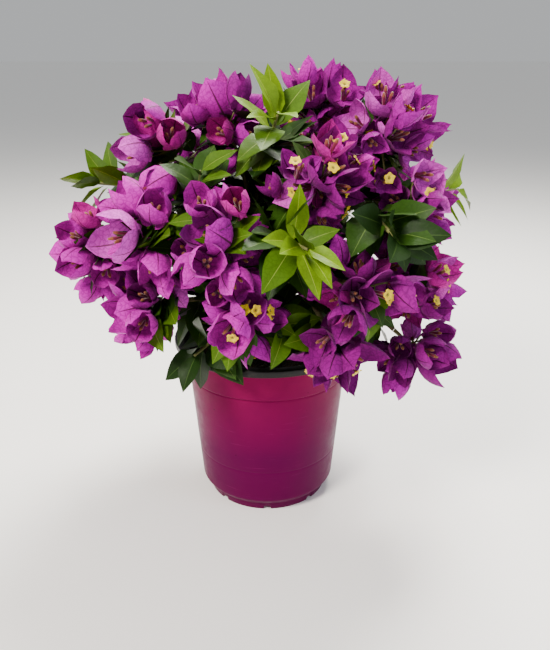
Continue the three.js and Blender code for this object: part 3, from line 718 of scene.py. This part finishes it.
all_heads = []
all_leaves = []
for mass in masses:
    corners = [vert.co / MM for vert in frame["nodes"][mass["node"]].data.vertices]
    finder = kdtree.KDTree(len(corners))
    for number, corner in enumerate(corners):
        finder.insert(corner, number)
    finder.balance()
    draw = seeded(mass["seed"])
    heads = []
    for i in range(HEAD_TRIES):
        if len(heads) == mass["heads"]:
            break
        head = head_try(mass, draw, i, HEAD_TRIES)
        tips = [place_frame @ Vector((head["length"], 0, 0)) for place_frame in head["frames"]]
        if sum(finder.find(tip)[2] < TIP_TOLERANCE for tip in tips) >= 2:
            head["from"] = mass["stem"](TWIG_HIGHEST - TWIG_RANGE * len(heads) / mass["heads"])[0]
            head["first"] = True
            heads.append(head)
    leaves = []
    tries = LEAF_TRIES * mass["leaves"]
    stretch = 0
    for i in range(tries):
        leaf = leaf_try(mass, draw, i, tries, heads)
        tip = leaf["frame"] @ Vector((leaf["length"], 0, -LEAF_DROOP * leaf["length"]))
        if i >= stretch * LEAF_TRIES and finder.find(tip)[2] < TIP_TOLERANCE:
            leaves.append(leaf)
            stretch = i // LEAF_TRIES + 1
    mass["first_heads"] = heads
    all_heads += heads
    all_leaves += leaves

# Flower heads and leaves, filled in
# Smaller heads and more leaves grow in the room that is left, from the first heads' twigs, the stems and
# the boughs. A real crown is as dense as its light allows: packed on the sunny right, looser elsewhere.
LOOSE = {"heads": 10, "size": 0.86, "spacing": 19}
DENSE = {"heads": 15, "size": 0.74, "spacing": 15}
DENSE_MASSES = {"top_right", "right_top", "right_mid", "centre_right"}
USUAL_RADIUS = 43
EXTRA_LEAVES = {"flowers": 15, "leaves": 2}
FIRST_LEAVES = {"upper_left": 8, "left_upper": 5, "upper_mid_left": 6, "low_centre": 6, "inner": 16}
FIRST_LEAF_SIZE = 0.75
LATE_LEAF_SIZE = 0.55
LEAF_SIZE_RANGE = 0.35
EXTRA_LEAN = 2.2
LANTERN_OPEN = 12
TRUMPET_OPEN = 26
LANTERN_MASSES = {"upper_mid_left", "upper_left", "left_upper", "left_outer", "left_low", "centre_left",
                  "low_centre", "right_low", "back_left"}
BOUGH_LEAVES = 30
BOUGH_LEAVES_FROM = 0.4
BOUGH_LEAF_SPREAD = 0.7
BOUGH_LEAF_SIZE = 0.6
BOUGH_LEAF_RANGE = 0.4
BOUGH_LEAF_FACE = 0.3
FILL_TRIES = 900
FILL_STRIDE = 389
INTO_NEIGHBOUR = {"flowers": 13, "leaves": 2}
HEAD_ROOM = 2
LEAF_ROOM = 3
HEAD_CLEAR = 14
TWIG_BEND = 3
POT_CLEAR_HEIGHT = 159
POT_CLEAR_RADIUS = 89
SHOOT_START = 0.75
SHOOT_ARCH = 6
SHOOT_LEAF_SPREAD = 1.3
SHOOT_SPREAD_DROP = 0.6
SHOOT_LEAF_SIZE = 0.8
SHOOT_LEAF_SHORTENING = 0.25
SHOOT_LEAF_RANGE = 0.15
SHOOT_LEAF_FACE = 0.6
# Leafy side shoots between the heads: the mass whose bough bears it, its end, its number of leaves, the
# share of its length where they start, the room that heads leave round its end, and its mix of tints
SIDE_SHOOTS = [
    ("left_upper", Vector((-48, -74, 316)), 14, 0.3, 30, "usual"),
    ("low_centre", Vector((22, -114, 198)), 8, 0.3, 24, "usual"),
    ("right_mid", Vector((161, -14, 291)), 7, 0.66, 20, "young"),
]
centres = np.array([mass["centre"] for mass in masses])
radii = np.array([mass["radius"] for mass in masses])
allowed = np.array([INTO_NEIGHBOUR[mass["kind"]] for mass in masses])
box_low, box_high = (np.array(corner) / MM for corner in cad_box)


def middle_of(head):
    """The middle of a head, halfway up its bracts."""
    return head["root"] + head["axis"] * 0.5 * head["length"]


leaf_spots = [spot for leaf in all_leaves for spot in leaf_marks(leaf)]
grown = {
    "heads": np.array([middle_of(head) for head in all_heads]),
    "leaves": np.array(leaf_spots),
    "blades": np.array([spot for head in all_heads for spot in bract_marks(head)] + leaf_spots),
}


def nearest(spots, kind):
    """The shortest distance from some points to the heads, leaves or blades that have grown."""
    return np.linalg.norm(np.array(spots)[:, None] - grown[kind], axis=2).min()


def has_room(marks, mass, apart, whole_crown=False):
    """Whether a blade's points keep to their space, clear of the pot and of the other blades."""
    spots = np.array(marks)
    reach = np.linalg.norm(spots[:, None] - centres, axis=2)
    own = mass["seed"] - 1
    if not whole_crown:
        if (reach[:, own] > radii[own] * OVERREACH).any():
            return False
        power = reach ** 2 - radii ** 2
        between = np.linalg.norm(centres - centres[own], axis=1) + 1e-6
        if ((power[:, [own]] - power) / (2 * between) > allowed).any():
            return False
    if (spots < box_low + 1).any() or (spots > box_high - 1).any():
        return False
    near_pot = np.hypot(spots[:, 0], spots[:, 1]) < POT_CLEAR_RADIUS
    if (near_pot & (spots[:, 2] < POT_CLEAR_HEIGHT)).any():
        return False
    if nearest(marks, "blades") < apart:
        return False
    grown["blades"] = np.vstack([grown["blades"], spots])
    return True


def grow_leaf(leaf, whole_crown=False):
    """Keeps a leaf if it has room and lies in no flower head. Says whether it was kept."""
    marks = leaf_marks(leaf)
    if nearest(marks, "heads") < HEAD_CLEAR or not has_room(marks, leaf["mass"], LEAF_ROOM, whole_crown):
        return False
    all_leaves.append(leaf)
    grown["leaves"] = np.vstack([grown["leaves"], marks])
    return True


def twig_of(head):
    """The short twig that carries a head, bent a little to arrive along the head's axis."""
    straight = head["root"] - head["from"]
    bend = head["from"].lerp(head["root"], 0.55) - head["axis"] * min(TWIG_BEND, 0.1 * straight.length)
    return bent(head["from"], bend, head["root"])


def fill_leaves(mass, draw, heads, wanted, smallest):
    """Grows more leaves in a mass, from its twigs and its stem, where there is room."""
    made = 0
    for i in range(FILL_TRIES):
        if made == wanted:
            break
        leaf = leaf_try(mass, draw, i * FILL_STRIDE % FILL_TRIES, FILL_TRIES, heads)
        leaf["length"] *= smallest + LEAF_SIZE_RANGE * draw()
        made += grow_leaf(leaf)


def has_head_room(head, spacing):
    """Whether a head stands clear of the other heads, the leaves and the side shoots' ends."""
    middle = middle_of(head)
    if nearest([middle], "heads") < spacing or nearest([middle], "leaves") < HEAD_CLEAR:
        return False
    if any((middle - end).length < clear for name, end, count, first, clear, mix in SIDE_SHOOTS):
        return False
    return has_room(bract_marks(head), head["mass"], HEAD_ROOM)


def fill_heads(mass, draw):
    """Grows more heads in a mass, each from the nearest start of a twig, and returns all its heads."""
    heads = list(mass["first_heads"])
    manner = DENSE if mass["name"] in DENSE_MASSES else LOOSE
    wanted = len(heads) + round(manner["heads"] * (mass["radius"] / USUAL_RADIUS) ** 2)
    opened = LANTERN_OPEN if mass["name"] in LANTERN_MASSES else TRUMPET_OPEN
    starts = [twig_of(head)(0.5)[0] for head in heads] + [mass["stem"](share)[0] for share in (0.3, 0.8)]
    for i in range(FILL_TRIES):
        if len(heads) == wanted:
            break
        head = head_try(mass, draw, i * FILL_STRIDE % FILL_TRIES, FILL_TRIES, EXTRA_LEAN, opened)
        head["length"] *= manner["size"]
        if has_head_room(head, manner["spacing"]):
            grown["heads"] = np.vstack([grown["heads"], middle_of(head)])
            head["from"] = min(starts, key=lambda start: (start - head["root"]).length)
            heads.append(head)
    return heads


def bough_leaves(mass, draw):
    """Grows leaves along a bough, which fill the inside of the crown."""
    for i in range(BOUGH_LEAVES):
        share = BOUGH_LEAVES_FROM + (1 - BOUGH_LEAVES_FROM) * (i + draw()) / BOUGH_LEAVES
        point, ahead = mass["bough"](share)
        along = tilted(ahead, BOUGH_LEAF_SPREAD + BOUGH_LEAF_RANGE * draw(), i * GOLDEN + draw())
        length = LEAF_LENGTH * (BOUGH_LEAF_SIZE + BOUGH_LEAF_RANGE * draw())
        place_frame = blade_frame(point, along, ahead * BOUGH_LEAF_FACE + UP)
        grow_leaf(leaf_of(place_frame, length, 0, mass, "bough"), whole_crown=True)


shoot_curves = []
draw = seeded(59)
for name, end, count, first, clear, mix in SIDE_SHOOTS:
    mass = next(mass for mass in masses if mass["name"] == name)
    start, ahead = mass["bough"](SHOOT_START)
    curve = bent(start, start.lerp(end, 0.5) + ahead * SHOOT_ARCH, end)
    shoot_curves.append(curve)
    for i in range(count):
        share = first + (1 - first) * (i + 0.5) / count
        point, ahead = curve(share)
        along = tilted(ahead, SHOOT_LEAF_SPREAD - SHOOT_SPREAD_DROP * share, i * GOLDEN + draw())
        size = SHOOT_LEAF_SIZE - SHOOT_LEAF_SHORTENING * share + SHOOT_LEAF_RANGE * draw()
        facing = ahead + UP * SHOOT_LEAF_FACE + FRONT * SHOOT_LEAF_FACE
        place_frame = blade_frame(point, along, facing)
        grow_leaf(leaf_of(place_frame, LEAF_LENGTH * size, share, mass, mix), whole_crown=True)

for mass in masses:
    draw = seeded(mass["seed"] + 100)
    heads = mass["first_heads"]
    fill_leaves(mass, draw, heads, FIRST_LEAVES.get(mass["name"], 0), FIRST_LEAF_SIZE)
    if mass["kind"] == "flowers":
        heads = fill_heads(mass, draw)
        all_heads += heads[len(mass["first_heads"]):]
    fill_leaves(mass, draw, heads, EXTRA_LEAVES[mass["kind"]], LATE_LEAF_SIZE)
    bough_leaves(mass, draw)

# Twigs
# Olive-green young wood: a stem in each mass, grown on from its bough's tip, a thin downy twig to each
# head, and the side shoots.
TWIG_RADIUS = 0.92
TWIG_TIP_RADIUS = 0.64
STEM_RADIUS = 1.9
STEM_TIP_RADIUS = 1.0
twigs = bmesh.new()
twigs.loops.layers.uv.new("UVMap")
stem_tube = tube_of(sides=8, steps=8)
twig_tube = tube_of(sides=6, steps=7)
for mass in masses:
    plant(twigs, stem_tube, along_limb(mass["stem"], tapered(STEM_RADIUS, STEM_TIP_RADIUS)))
for curve in [twig_of(head) for head in all_heads] + shoot_curves:
    plant(twigs, twig_tube, along_limb(curve, tapered(TWIG_RADIUS, TWIG_TIP_RADIUS)))

# Green twig skin: olive in clouds of 7 mm, and dulled by a fine down.
twig_stuff, tree, shader = material_of("green_twig")
place = add(tree, "TexCoord")["Object"]
bloom = add(tree, "TexNoise", {"Vector": place, "Scale": every(7.14), "Detail": 3})["Fac"]
green_wood = add(tree, "MixRGB", {"Fac": bloom, "Color1": linear("#4A4A22"), "Color2": linear("#7F8045")})
feed(shader, {"Base Color": green_wood["Color"], "Roughness": 0.7})
piece_of(twigs, "twigs", [twig_stuff], [mass["node"] for mass in masses])

# Bracts
# Three papery bracts stand round each head: nearly round, with a heart-shaped base, a sharp tip, a wavy
# edge and a sunk midrib. Some masses have them closed to a lantern, the others open as a trumpet.
BRACT_WIDTH = 34.5
BRACT_ROWS = 9
STRIPS = [-1, -0.72, -0.36, -0.04, 0.04, 0.36, 0.72, 1]
LANTERNS = [
    {"cup": 0.22, "wrap": 0.95, "wave": 0.028, "flare": -0.05, "point": 0.52, "phase": 0.0},
    {"cup": 0.27, "wrap": 1.15, "wave": 0.036, "flare": -0.08, "point": 0.46, "phase": 1.3},
    {"cup": 0.17, "wrap": 0.75, "wave": 0.040, "flare": 0.00, "point": 0.60, "phase": 2.9},
    {"cup": 0.24, "wrap": 1.30, "wave": 0.024, "flare": -0.04, "point": 0.50, "phase": 4.2},
]
TRUMPETS = [
    {"cup": 0.14, "wrap": 0.80, "wave": 0.034, "flare": 0.06, "point": 0.78, "phase": 0.7},
    {"cup": 0.19, "wrap": 1.10, "wave": 0.040, "flare": 0.02, "point": 0.66, "phase": 2.2},
    {"cup": 0.11, "wrap": 0.60, "wave": 0.036, "flare": 0.12, "point": 0.88, "phase": 3.6},
    {"cup": 0.21, "wrap": 1.30, "wave": 0.030, "flare": -0.04, "point": 0.62, "phase": 5.1},
]
BRACT_TINTS = {
    "orchid": ("#BC10AC", "#5E1C48"),
    "violet": ("#A00896", "#4C103C"),
    "purple": ("#800476", "#3C0A2E"),
    "rose": ("#B61090", "#601A48"),
    "lilac": ("#CE48C4", "#763A62"),
}
# Lilac, the main tint of the upper left, is painted light: a paler copy of the bract colour. The deep
# purple given to the masses in its set is painted shade: a darker copy of the bract colour.
MAIN_TINT = {
    "purple": {"mid_right", "centre_right", "low_right", "right_low", "back_low_right"},
    "lilac": {"upper_left"},
    "orchid": {"upper_mid_left", "left_upper", "left_outer", "left_low", "centre_left", "back_left"},
    "violet": {"top_right", "low_centre", "right_top", "right_mid", "right_outer",
               "back_upper_left", "back_upper_right", "back_right", "back_centre"},
}
OTHER_TINT_SHARE = 0.42
LANTERN_CLOSING = math.radians(14)


def blade_template(rows, place_point):
    """A blade of unit length as a mesh: rows of strips, the middle strip in the second material."""
    bm = bmesh.new()
    bmesh.ops.create_grid(bm, x_segments=rows, y_segments=len(STRIPS) - 1, size=0.5)
    for face in bm.faces:
        face.material_index = int(abs(face.calc_center_median().y) < 0.01)
    for vert in bm.verts:
        column = round((vert.co.y + 0.5) * (len(STRIPS) - 1))
        even = vert.co.x + 0.5
        crowded_to_ends = 0.5 - 0.5 * math.cos(math.pi * even)
        vert.co = place_point(0.35 * even + 0.65 * crowded_to_ends, STRIPS[column])
    bmesh.ops.remove_doubles(bm, verts=bm.verts, dist=0.002)
    mesh = bpy.data.meshes.new("blade")
    bm.to_mesh(mesh)
    bm.free()
    return mesh


def bract_shape(cup, wrap, wave, flare, point, phase):
    """A function that gives the place of a point of a bract: its share of the length, and side."""
    def place_point(share, side):
        outline = min(1, (1.72 + 0.75 * point) * share ** 0.46 * (1 - share) ** (point + 0.12))
        outline *= 1 - 0.8 * share ** 9
        half = BRACT_WIDTH / BRACT_LENGTH / 2 * outline
        arc = wrap * (0.5 + 0.5 * math.sin(math.pi * share))
        lobe = 0.05 * abs(side) * max(0, 1 - 4 * share)
        rise = half / arc * (1 - math.cos(side * arc)) - cup * 4 * share * (1 - share) - flare * share ** 3
        turn = 14 * share + phase + (1.7 if side > 0 else 0)
        ripple = 1.5 * wave * side * side * outline * math.sin(turn)
        quilt = 0.008 * abs(side) * outline * math.sin(28 * share + 4 * abs(side))
        crease = 0.014 * min(1, abs(side) * 3) * outline
        return Vector((share - lobe, half / arc * math.sin(side * arc), rise + ripple + crease + quilt))
    return place_point


lanterns = [blade_template(BRACT_ROWS, bract_shape(**shape)) for shape in LANTERNS]
trumpets = [blade_template(BRACT_ROWS, bract_shape(**shape)) for shape in TRUMPETS]
bract_meshes = {tint: bmesh.new() for tint in BRACT_TINTS}
bract_nodes = {tint: set() for tint in BRACT_TINTS}
draw = seeded(11)
for head in all_heads:
    name = head["mass"]["name"]
    tint = next(key for key in MAIN_TINT if name in MAIN_TINT[key])
    if draw() < OTHER_TINT_SHARE:
        tint = list(BRACT_TINTS)[math.floor(draw() * len(BRACT_TINTS))]
    bract_nodes[tint].add(head["mass"]["node"])
    shapes = lanterns if name in LANTERN_MASSES else trumpets
    closing = LANTERN_CLOSING if head["first"] and name in LANTERN_MASSES else 0
    for place_frame in head["frames"]:
        shape = shapes[math.floor(draw() * len(shapes))]
        leaned = place_frame @ Matrix.Rotation(-closing, 4, "Y")
        move = Matrix.Scale(MM, 4) @ leaned @ Matrix.Scale(head["length"], 4)
        plant(bract_meshes[tint], shape, lambda co, move=move: move @ co)


def blade_material(name, colour, roughness, sheen, gloss, veins=0, crinkle=0.5):
    """A blade's skin: one plain colour in clouds of 14 mm, under a net of darker veins sunk 4 mm apart.

    The real net is finer, and is drawn coarser to show. Reflections take on some of the blade's colour.
    """
    material, tree, shader = material_of(name)
    place = add(tree, "TexCoord")["Object"]
    cloud = add(tree, "TexNoise", {"Vector": place, "Scale": every(14.3), "Detail": 3})["Fac"]
    plain = np.array(linear(colour)[:3])
    deep, pale, dark_vein = (list(np.minimum(1, plain * share)) + [1] for share in (0.66, 1.25, 0.297))
    tone = add(tree, "MixRGB", {"Fac": cloud, "Color1": deep, "Color2": pale})["Color"]
    stray = add(tree, "TexNoise", {"Vector": place, "Scale": every(5.56), "Detail": 2})["Color"]
    strayed = add(tree, "MixRGB", {"Fac": 0.006, "Color1": place, "Color2": stray}, blend_type="ADD")
    net = add(tree, "TexVoronoi", {"Vector": strayed["Color"], "Scale": every(3.85)},
              feature="DISTANCE_TO_EDGE")
    vein = add(tree, "MapRange", {"Value": net["Distance"], "From Min": 0, "From Max": 0.13,
                                  "To Min": veins, "To Max": 0})["Result"]
    veined = add(tree, "MixRGB", {"Fac": vein, "Color1": tone, "Color2": dark_vein})["Color"]
    sunk = add(tree, "Bump", {"Height": net["Distance"], "Strength": crinkle, "Distance": 0.0006})["Normal"]
    feed(shader, {"Base Color": veined, "Normal": sunk, "Roughness": roughness, "Sheen Weight": sheen,
                  "Specular IOR Level": gloss, "Specular Tint": [0.35 + 0.65 * part for part in pale]})
    return material


for tint, (blade_colour, rib_colour) in BRACT_TINTS.items():
    # Papery bract tissue: matt, with a trace of sheen at grazing light, and a darker midrib
    tissue = blade_material("bract_" + tint, blade_colour, 0.6, 0.04, 0.15, veins=0.55)
    rib = blade_material("bract_rib_" + tint, rib_colour, 0.6, 0, 0.3)
    piece_of(bract_meshes[tint], "bracts_" + tint, [tissue, rib], sorted(bract_nodes[tint]))

# Flower tubes and stars
# In each head stand three slender tubes, swollen at the foot and angled. Most are closed buds with a
# tan end. On the sunny side some have opened into a crinkled cream star with five lobes.
TUBE_LENGTH = 25
TUBE_SIDES = 6
TUBE_STEPS = 7
TUBE_END = 0.3
TUBE_SHORTEST = 0.85
TUBE_RANGE = 0.2
TUBE_FOOT_OUT = 0.6
TUBE_BOW = 1.2
TUBE_SPLAY = 0.1
TUBE_SPLAY_RANGE = 0.12
OPEN_MASSES = {"right_top", "top_right", "centre_right", "mid_right", "low_right", "right_outer",
               "low_centre", "right_mid"}
OPEN_SHARE = 0.17
STAR_RADIUS = 4.7
THROAT_RADIUS = 1.3
LOBES = 5
LOBE_DEPTH = 0.12
tube_template = tube_of(TUBE_SIDES, TUBE_STEPS)
for face in tube_template.polygons:
    face.material_index = int(face.center.z > TUBE_END)
star = turned([(0, -0.8), (THROAT_RADIUS, -0.2), (3.6, 0.9), (STAR_RADIUS, 0.5)], 5 * LOBES)
for face in star.faces:
    face.material_index = int(face.calc_center_median().xy.length < THROAT_RADIUS * MM)
for vert in star.verts:
    turn = math.atan2(vert.co.y, vert.co.x)
    edge = max(0, vert.co.xy.length / MM - 1) / (STAR_RADIUS - 1)
    vert.co *= 1 - LOBE_DEPTH * edge * (1 - math.cos(LOBES * turn))
    vert.co.z += (0.55 * edge * math.cos(2 * LOBES * turn) + 0.2 * edge * math.sin(3 * turn)) * MM
star_template = bpy.data.meshes.new("star")
star.to_mesh(star_template)
star.free()


def tube_radius(share):
    """A flower tube's radius: a swelling round the seed at its foot, a waist, and a wider mouth."""
    closing = 0.5 if share > 0.99 else 1
    return (1.15 + 0.6 * math.exp(-((share - 0.16) / 0.13) ** 2) + 0.9 * max(0, share - 0.45)) * closing


tubes = bmesh.new()
tubes.loops.layers.uv.new("UVMap")
stars = bmesh.new()
draw = seeded(23)
for head in all_heads:
    for side in range(3):
        turn = head["roll"] + side * 2 * math.pi / 3
        out = tilted(head["axis"], math.pi / 2, turn)
        foot = head["root"] + out * TUBE_FOOT_OUT
        length = TUBE_LENGTH * head["length"] / BRACT_LENGTH * (TUBE_SHORTEST + TUBE_RANGE * draw())
        aim = (head["axis"] + out * (TUBE_SPLAY + TUBE_SPLAY_RANGE * draw())).normalized()
        end = foot + aim * length
        curve = bent(foot, foot + out * TUBE_BOW + head["axis"] * 0.5 * length, end)
        plant(tubes, tube_template, along_limb(curve, tube_radius))
        if head["mass"]["name"] in OPEN_MASSES and draw() < OPEN_SHARE:
            facing = curve(1)[1]
            seat = blade_frame(end + facing * 0.5, tilted(facing, math.pi / 2, turn), facing)
            move = Matrix.Scale(MM, 4) @ seat @ Matrix.Scale(1 / MM, 4)
            plant(stars, star_template, lambda co, move=move: move @ co)

# Tube skin: downy and so without gloss, maroon with a tan end
tube_skin = blade_material("flower_tube", "#74203A", 0.65, 0.3, 0.3)
tube_end = blade_material("flower_tube_end", "#7E4A30", 0.65, 0.3, 0.3)
flower_nodes = [mass["node"] for mass in masses if mass["kind"] == "flowers"]
piece_of(tubes, "flower_tubes", [tube_skin, tube_end], flower_nodes)
# Star petals: thin and soft, creamy yellow, with a greener throat
petal = blade_material("cream_petal", "#DEC022", 0.55, 0.1, 0.35)
throat = blade_material("green_throat", "#98982A", 0.6, 0, 0.3)
piece_of(stars, "flower_stars", [petal, throat], [])

# Leaves
# Pointed oval leaves on short stalks, folded along a sunk pale midrib, drooping at the tip and wavy
# at the edge. Young ones at the shoots are lime green. The ones inside the crown and low down are dark:
# an older leaf's deeper green, darkened further with painted shade.
LEAF_WIDTH = 30
LEAF_ROWS = 8
STALK_SHARE = 0.12
STALK_HALF = 0.012
RIB_SIDE = 0.1
LEAF_SHAPES = [
    {"fold": 0.2, "wave": 0.014, "phase": 0.0},
    {"fold": 0.32, "wave": 0.022, "phase": 1.9},
    {"fold": 0.12, "wave": 0.028, "phase": 3.7},
]
# The dark tint is an older leaf's deeper green with painted shade. It goes to the leaves inside the crown
# and low down.
LEAF_TINTS = {
    "lime": ("#648406", "#98A838"),
    "fresh": ("#405E0C", "#6E822E"),
    "mature": ("#284410", "#526C2A"),
    "dark": ("#182E0C", "#3A5420"),
}
LEAF_MIX = {
    "young": ("lime", "lime", "fresh"),
    "left_shoot": ("lime", "fresh", "mature"),
    "top_shoot": ("lime", "fresh", "mature"),
    "centre_shoot": ("lime", "fresh", "mature"),
    "right_shoot": ("dark", "mature", "fresh"),
    "low_left": ("dark", "dark", "mature"),
    "inner": ("mature", "dark", "fresh"),
}
USUAL_MIX = ("mature", "fresh", "dark")
BOUGH_MIX = ("dark", "mature", "mature", "fresh")
AGE_SPREAD = 0.55
SECOND_TINT_AGE = 0.5
THIRD_TINT_AGE = 0.82
TINT_WIDTH = {"lime": 0.7, "fresh": 0.86, "mature": 1, "dark": 1}


def leaf_shape(fold, wave, phase):
    """A function that gives the place of a point of a leaf: its share of the length, and side."""
    def place_point(share, side):
        blade = max(0, (share - STALK_SHARE * 0.8) / (1 - STALK_SHARE * 0.8))
        outline = math.sin(math.pi * blade ** 0.75) ** 0.85 * (1 - 0.3 * blade ** 5)
        half = max(STALK_HALF * (1 - share), LEAF_WIDTH / LEAF_LENGTH / 2 * outline)
        across = side * half if abs(side) > RIB_SIDE else side * max(0.25, outline) * 0.2
        rise = fold * abs(side) * outline * half - LEAF_DROOP * share * share
        ripple = wave * abs(side) * outline * math.sin(13 * share + phase + (2.1 if side > 0 else 0))
        return Vector((share, across, rise + ripple))
    return place_point


def tint_of(leaf, draw):
    """A leaf's tint: the mix's first at the shoot's tip, and its last at the foot."""
    age = AGE_SPREAD * draw() + 0.5 * (1 - leaf["share"])
    if leaf["mix"] == "bough":
        return BOUGH_MIX[math.floor(len(BOUGH_MIX) * draw())]
    mix = LEAF_MIX.get(leaf["mix"], USUAL_MIX)
    return mix[(age >= SECOND_TINT_AGE) + (age >= THIRD_TINT_AGE)]


leaf_templates = [blade_template(LEAF_ROWS, leaf_shape(**shape)) for shape in LEAF_SHAPES]
leaf_meshes = {tint: bmesh.new() for tint in LEAF_TINTS}
leaf_nodes = {tint: set() for tint in LEAF_TINTS}
draw = seeded(37)
for leaf in all_leaves:
    tint = tint_of(leaf, draw)
    leaf_nodes[tint].add(leaf["mass"]["node"])
    shape = leaf_templates[math.floor(draw() * len(leaf_templates))]
    size = Matrix.Diagonal((1, TINT_WIDTH[tint], 1, 1)) @ Matrix.Scale(leaf["length"], 4)
    move = Matrix.Scale(MM, 4) @ leaf["frame"] @ size
    plant(leaf_meshes[tint], shape, lambda co, move=move: move @ co)
for tint, (blade_colour, rib_colour) in LEAF_TINTS.items():
    # Leaf skin: waxy and half glossy, with a paler midrib and stalk
    tissue = blade_material("leaf_" + tint, blade_colour, 0.42, 0, 0.25, veins=0.25, crinkle=0.2)
    rib = blade_material("leaf_rib_" + tint, rib_colour, 0.5, 0, 0.4)
    piece_of(leaf_meshes[tint], "leaves_" + tint, [tissue, rib], sorted(leaf_nodes[tint]))

# Studio
# A plain pale floor, a large soft key light high in front on the left, a fill on the right and a
# light from above and behind that rims the crown.
FLOOR_SIZE = 60
stage_mesh = bmesh.new()
bmesh.ops.create_grid(stage_mesh, x_segments=1, y_segments=1, size=FLOOR_SIZE / 2)
floor_mesh = bpy.data.meshes.new("studio_floor")
stage_mesh.to_mesh(floor_mesh)
stage_mesh.free()
floor_stuff, tree, shader = material_of("studio_floor")
feed(shader, {"Base Color": linear("#FAF9F7"), "Roughness": 0.9})
floor_mesh.materials.append(floor_stuff)
floor = bpy.data.objects.new("studio_floor", floor_mesh)
bpy.context.scene.collection.objects.link(floor)
# Each light: name, place in metres, width in metres, watts and colour
LIT_POINT = (0, 0, 0.22)
LIGHTS = [
    ("key", (-0.7, -0.9, 1.25), 0.5, 42, "#FFF6EA"),
    ("fill", (1.1, -0.6, 0.7), 0.9, 6, "#EAF1FF"),
    ("top", (0.25, 0.55, 1.3), 0.6, 46, "#FFFBF2"),
]
for name, spot, size, power, colour in LIGHTS:
    light = bpy.data.lights.new(name, "AREA")
    light.shape = "DISK"
    light.size = size
    light.energy = power
    light.color = linear(colour)[:3]
    lamp = bpy.data.objects.new(name, light)
    lamp.location = spot
    lamp.rotation_euler = (Vector(LIT_POINT) - Vector(spot)).to_track_quat("-Z", "Y").to_euler()
    bpy.context.scene.collection.objects.link(lamp)
world = bpy.data.worlds.new("studio_world")
world.use_nodes = True
feed(world.node_tree.nodes["Background"], {"Color": linear("#E4E6E8"), "Strength": 0.64})
bpy.context.scene.world = world
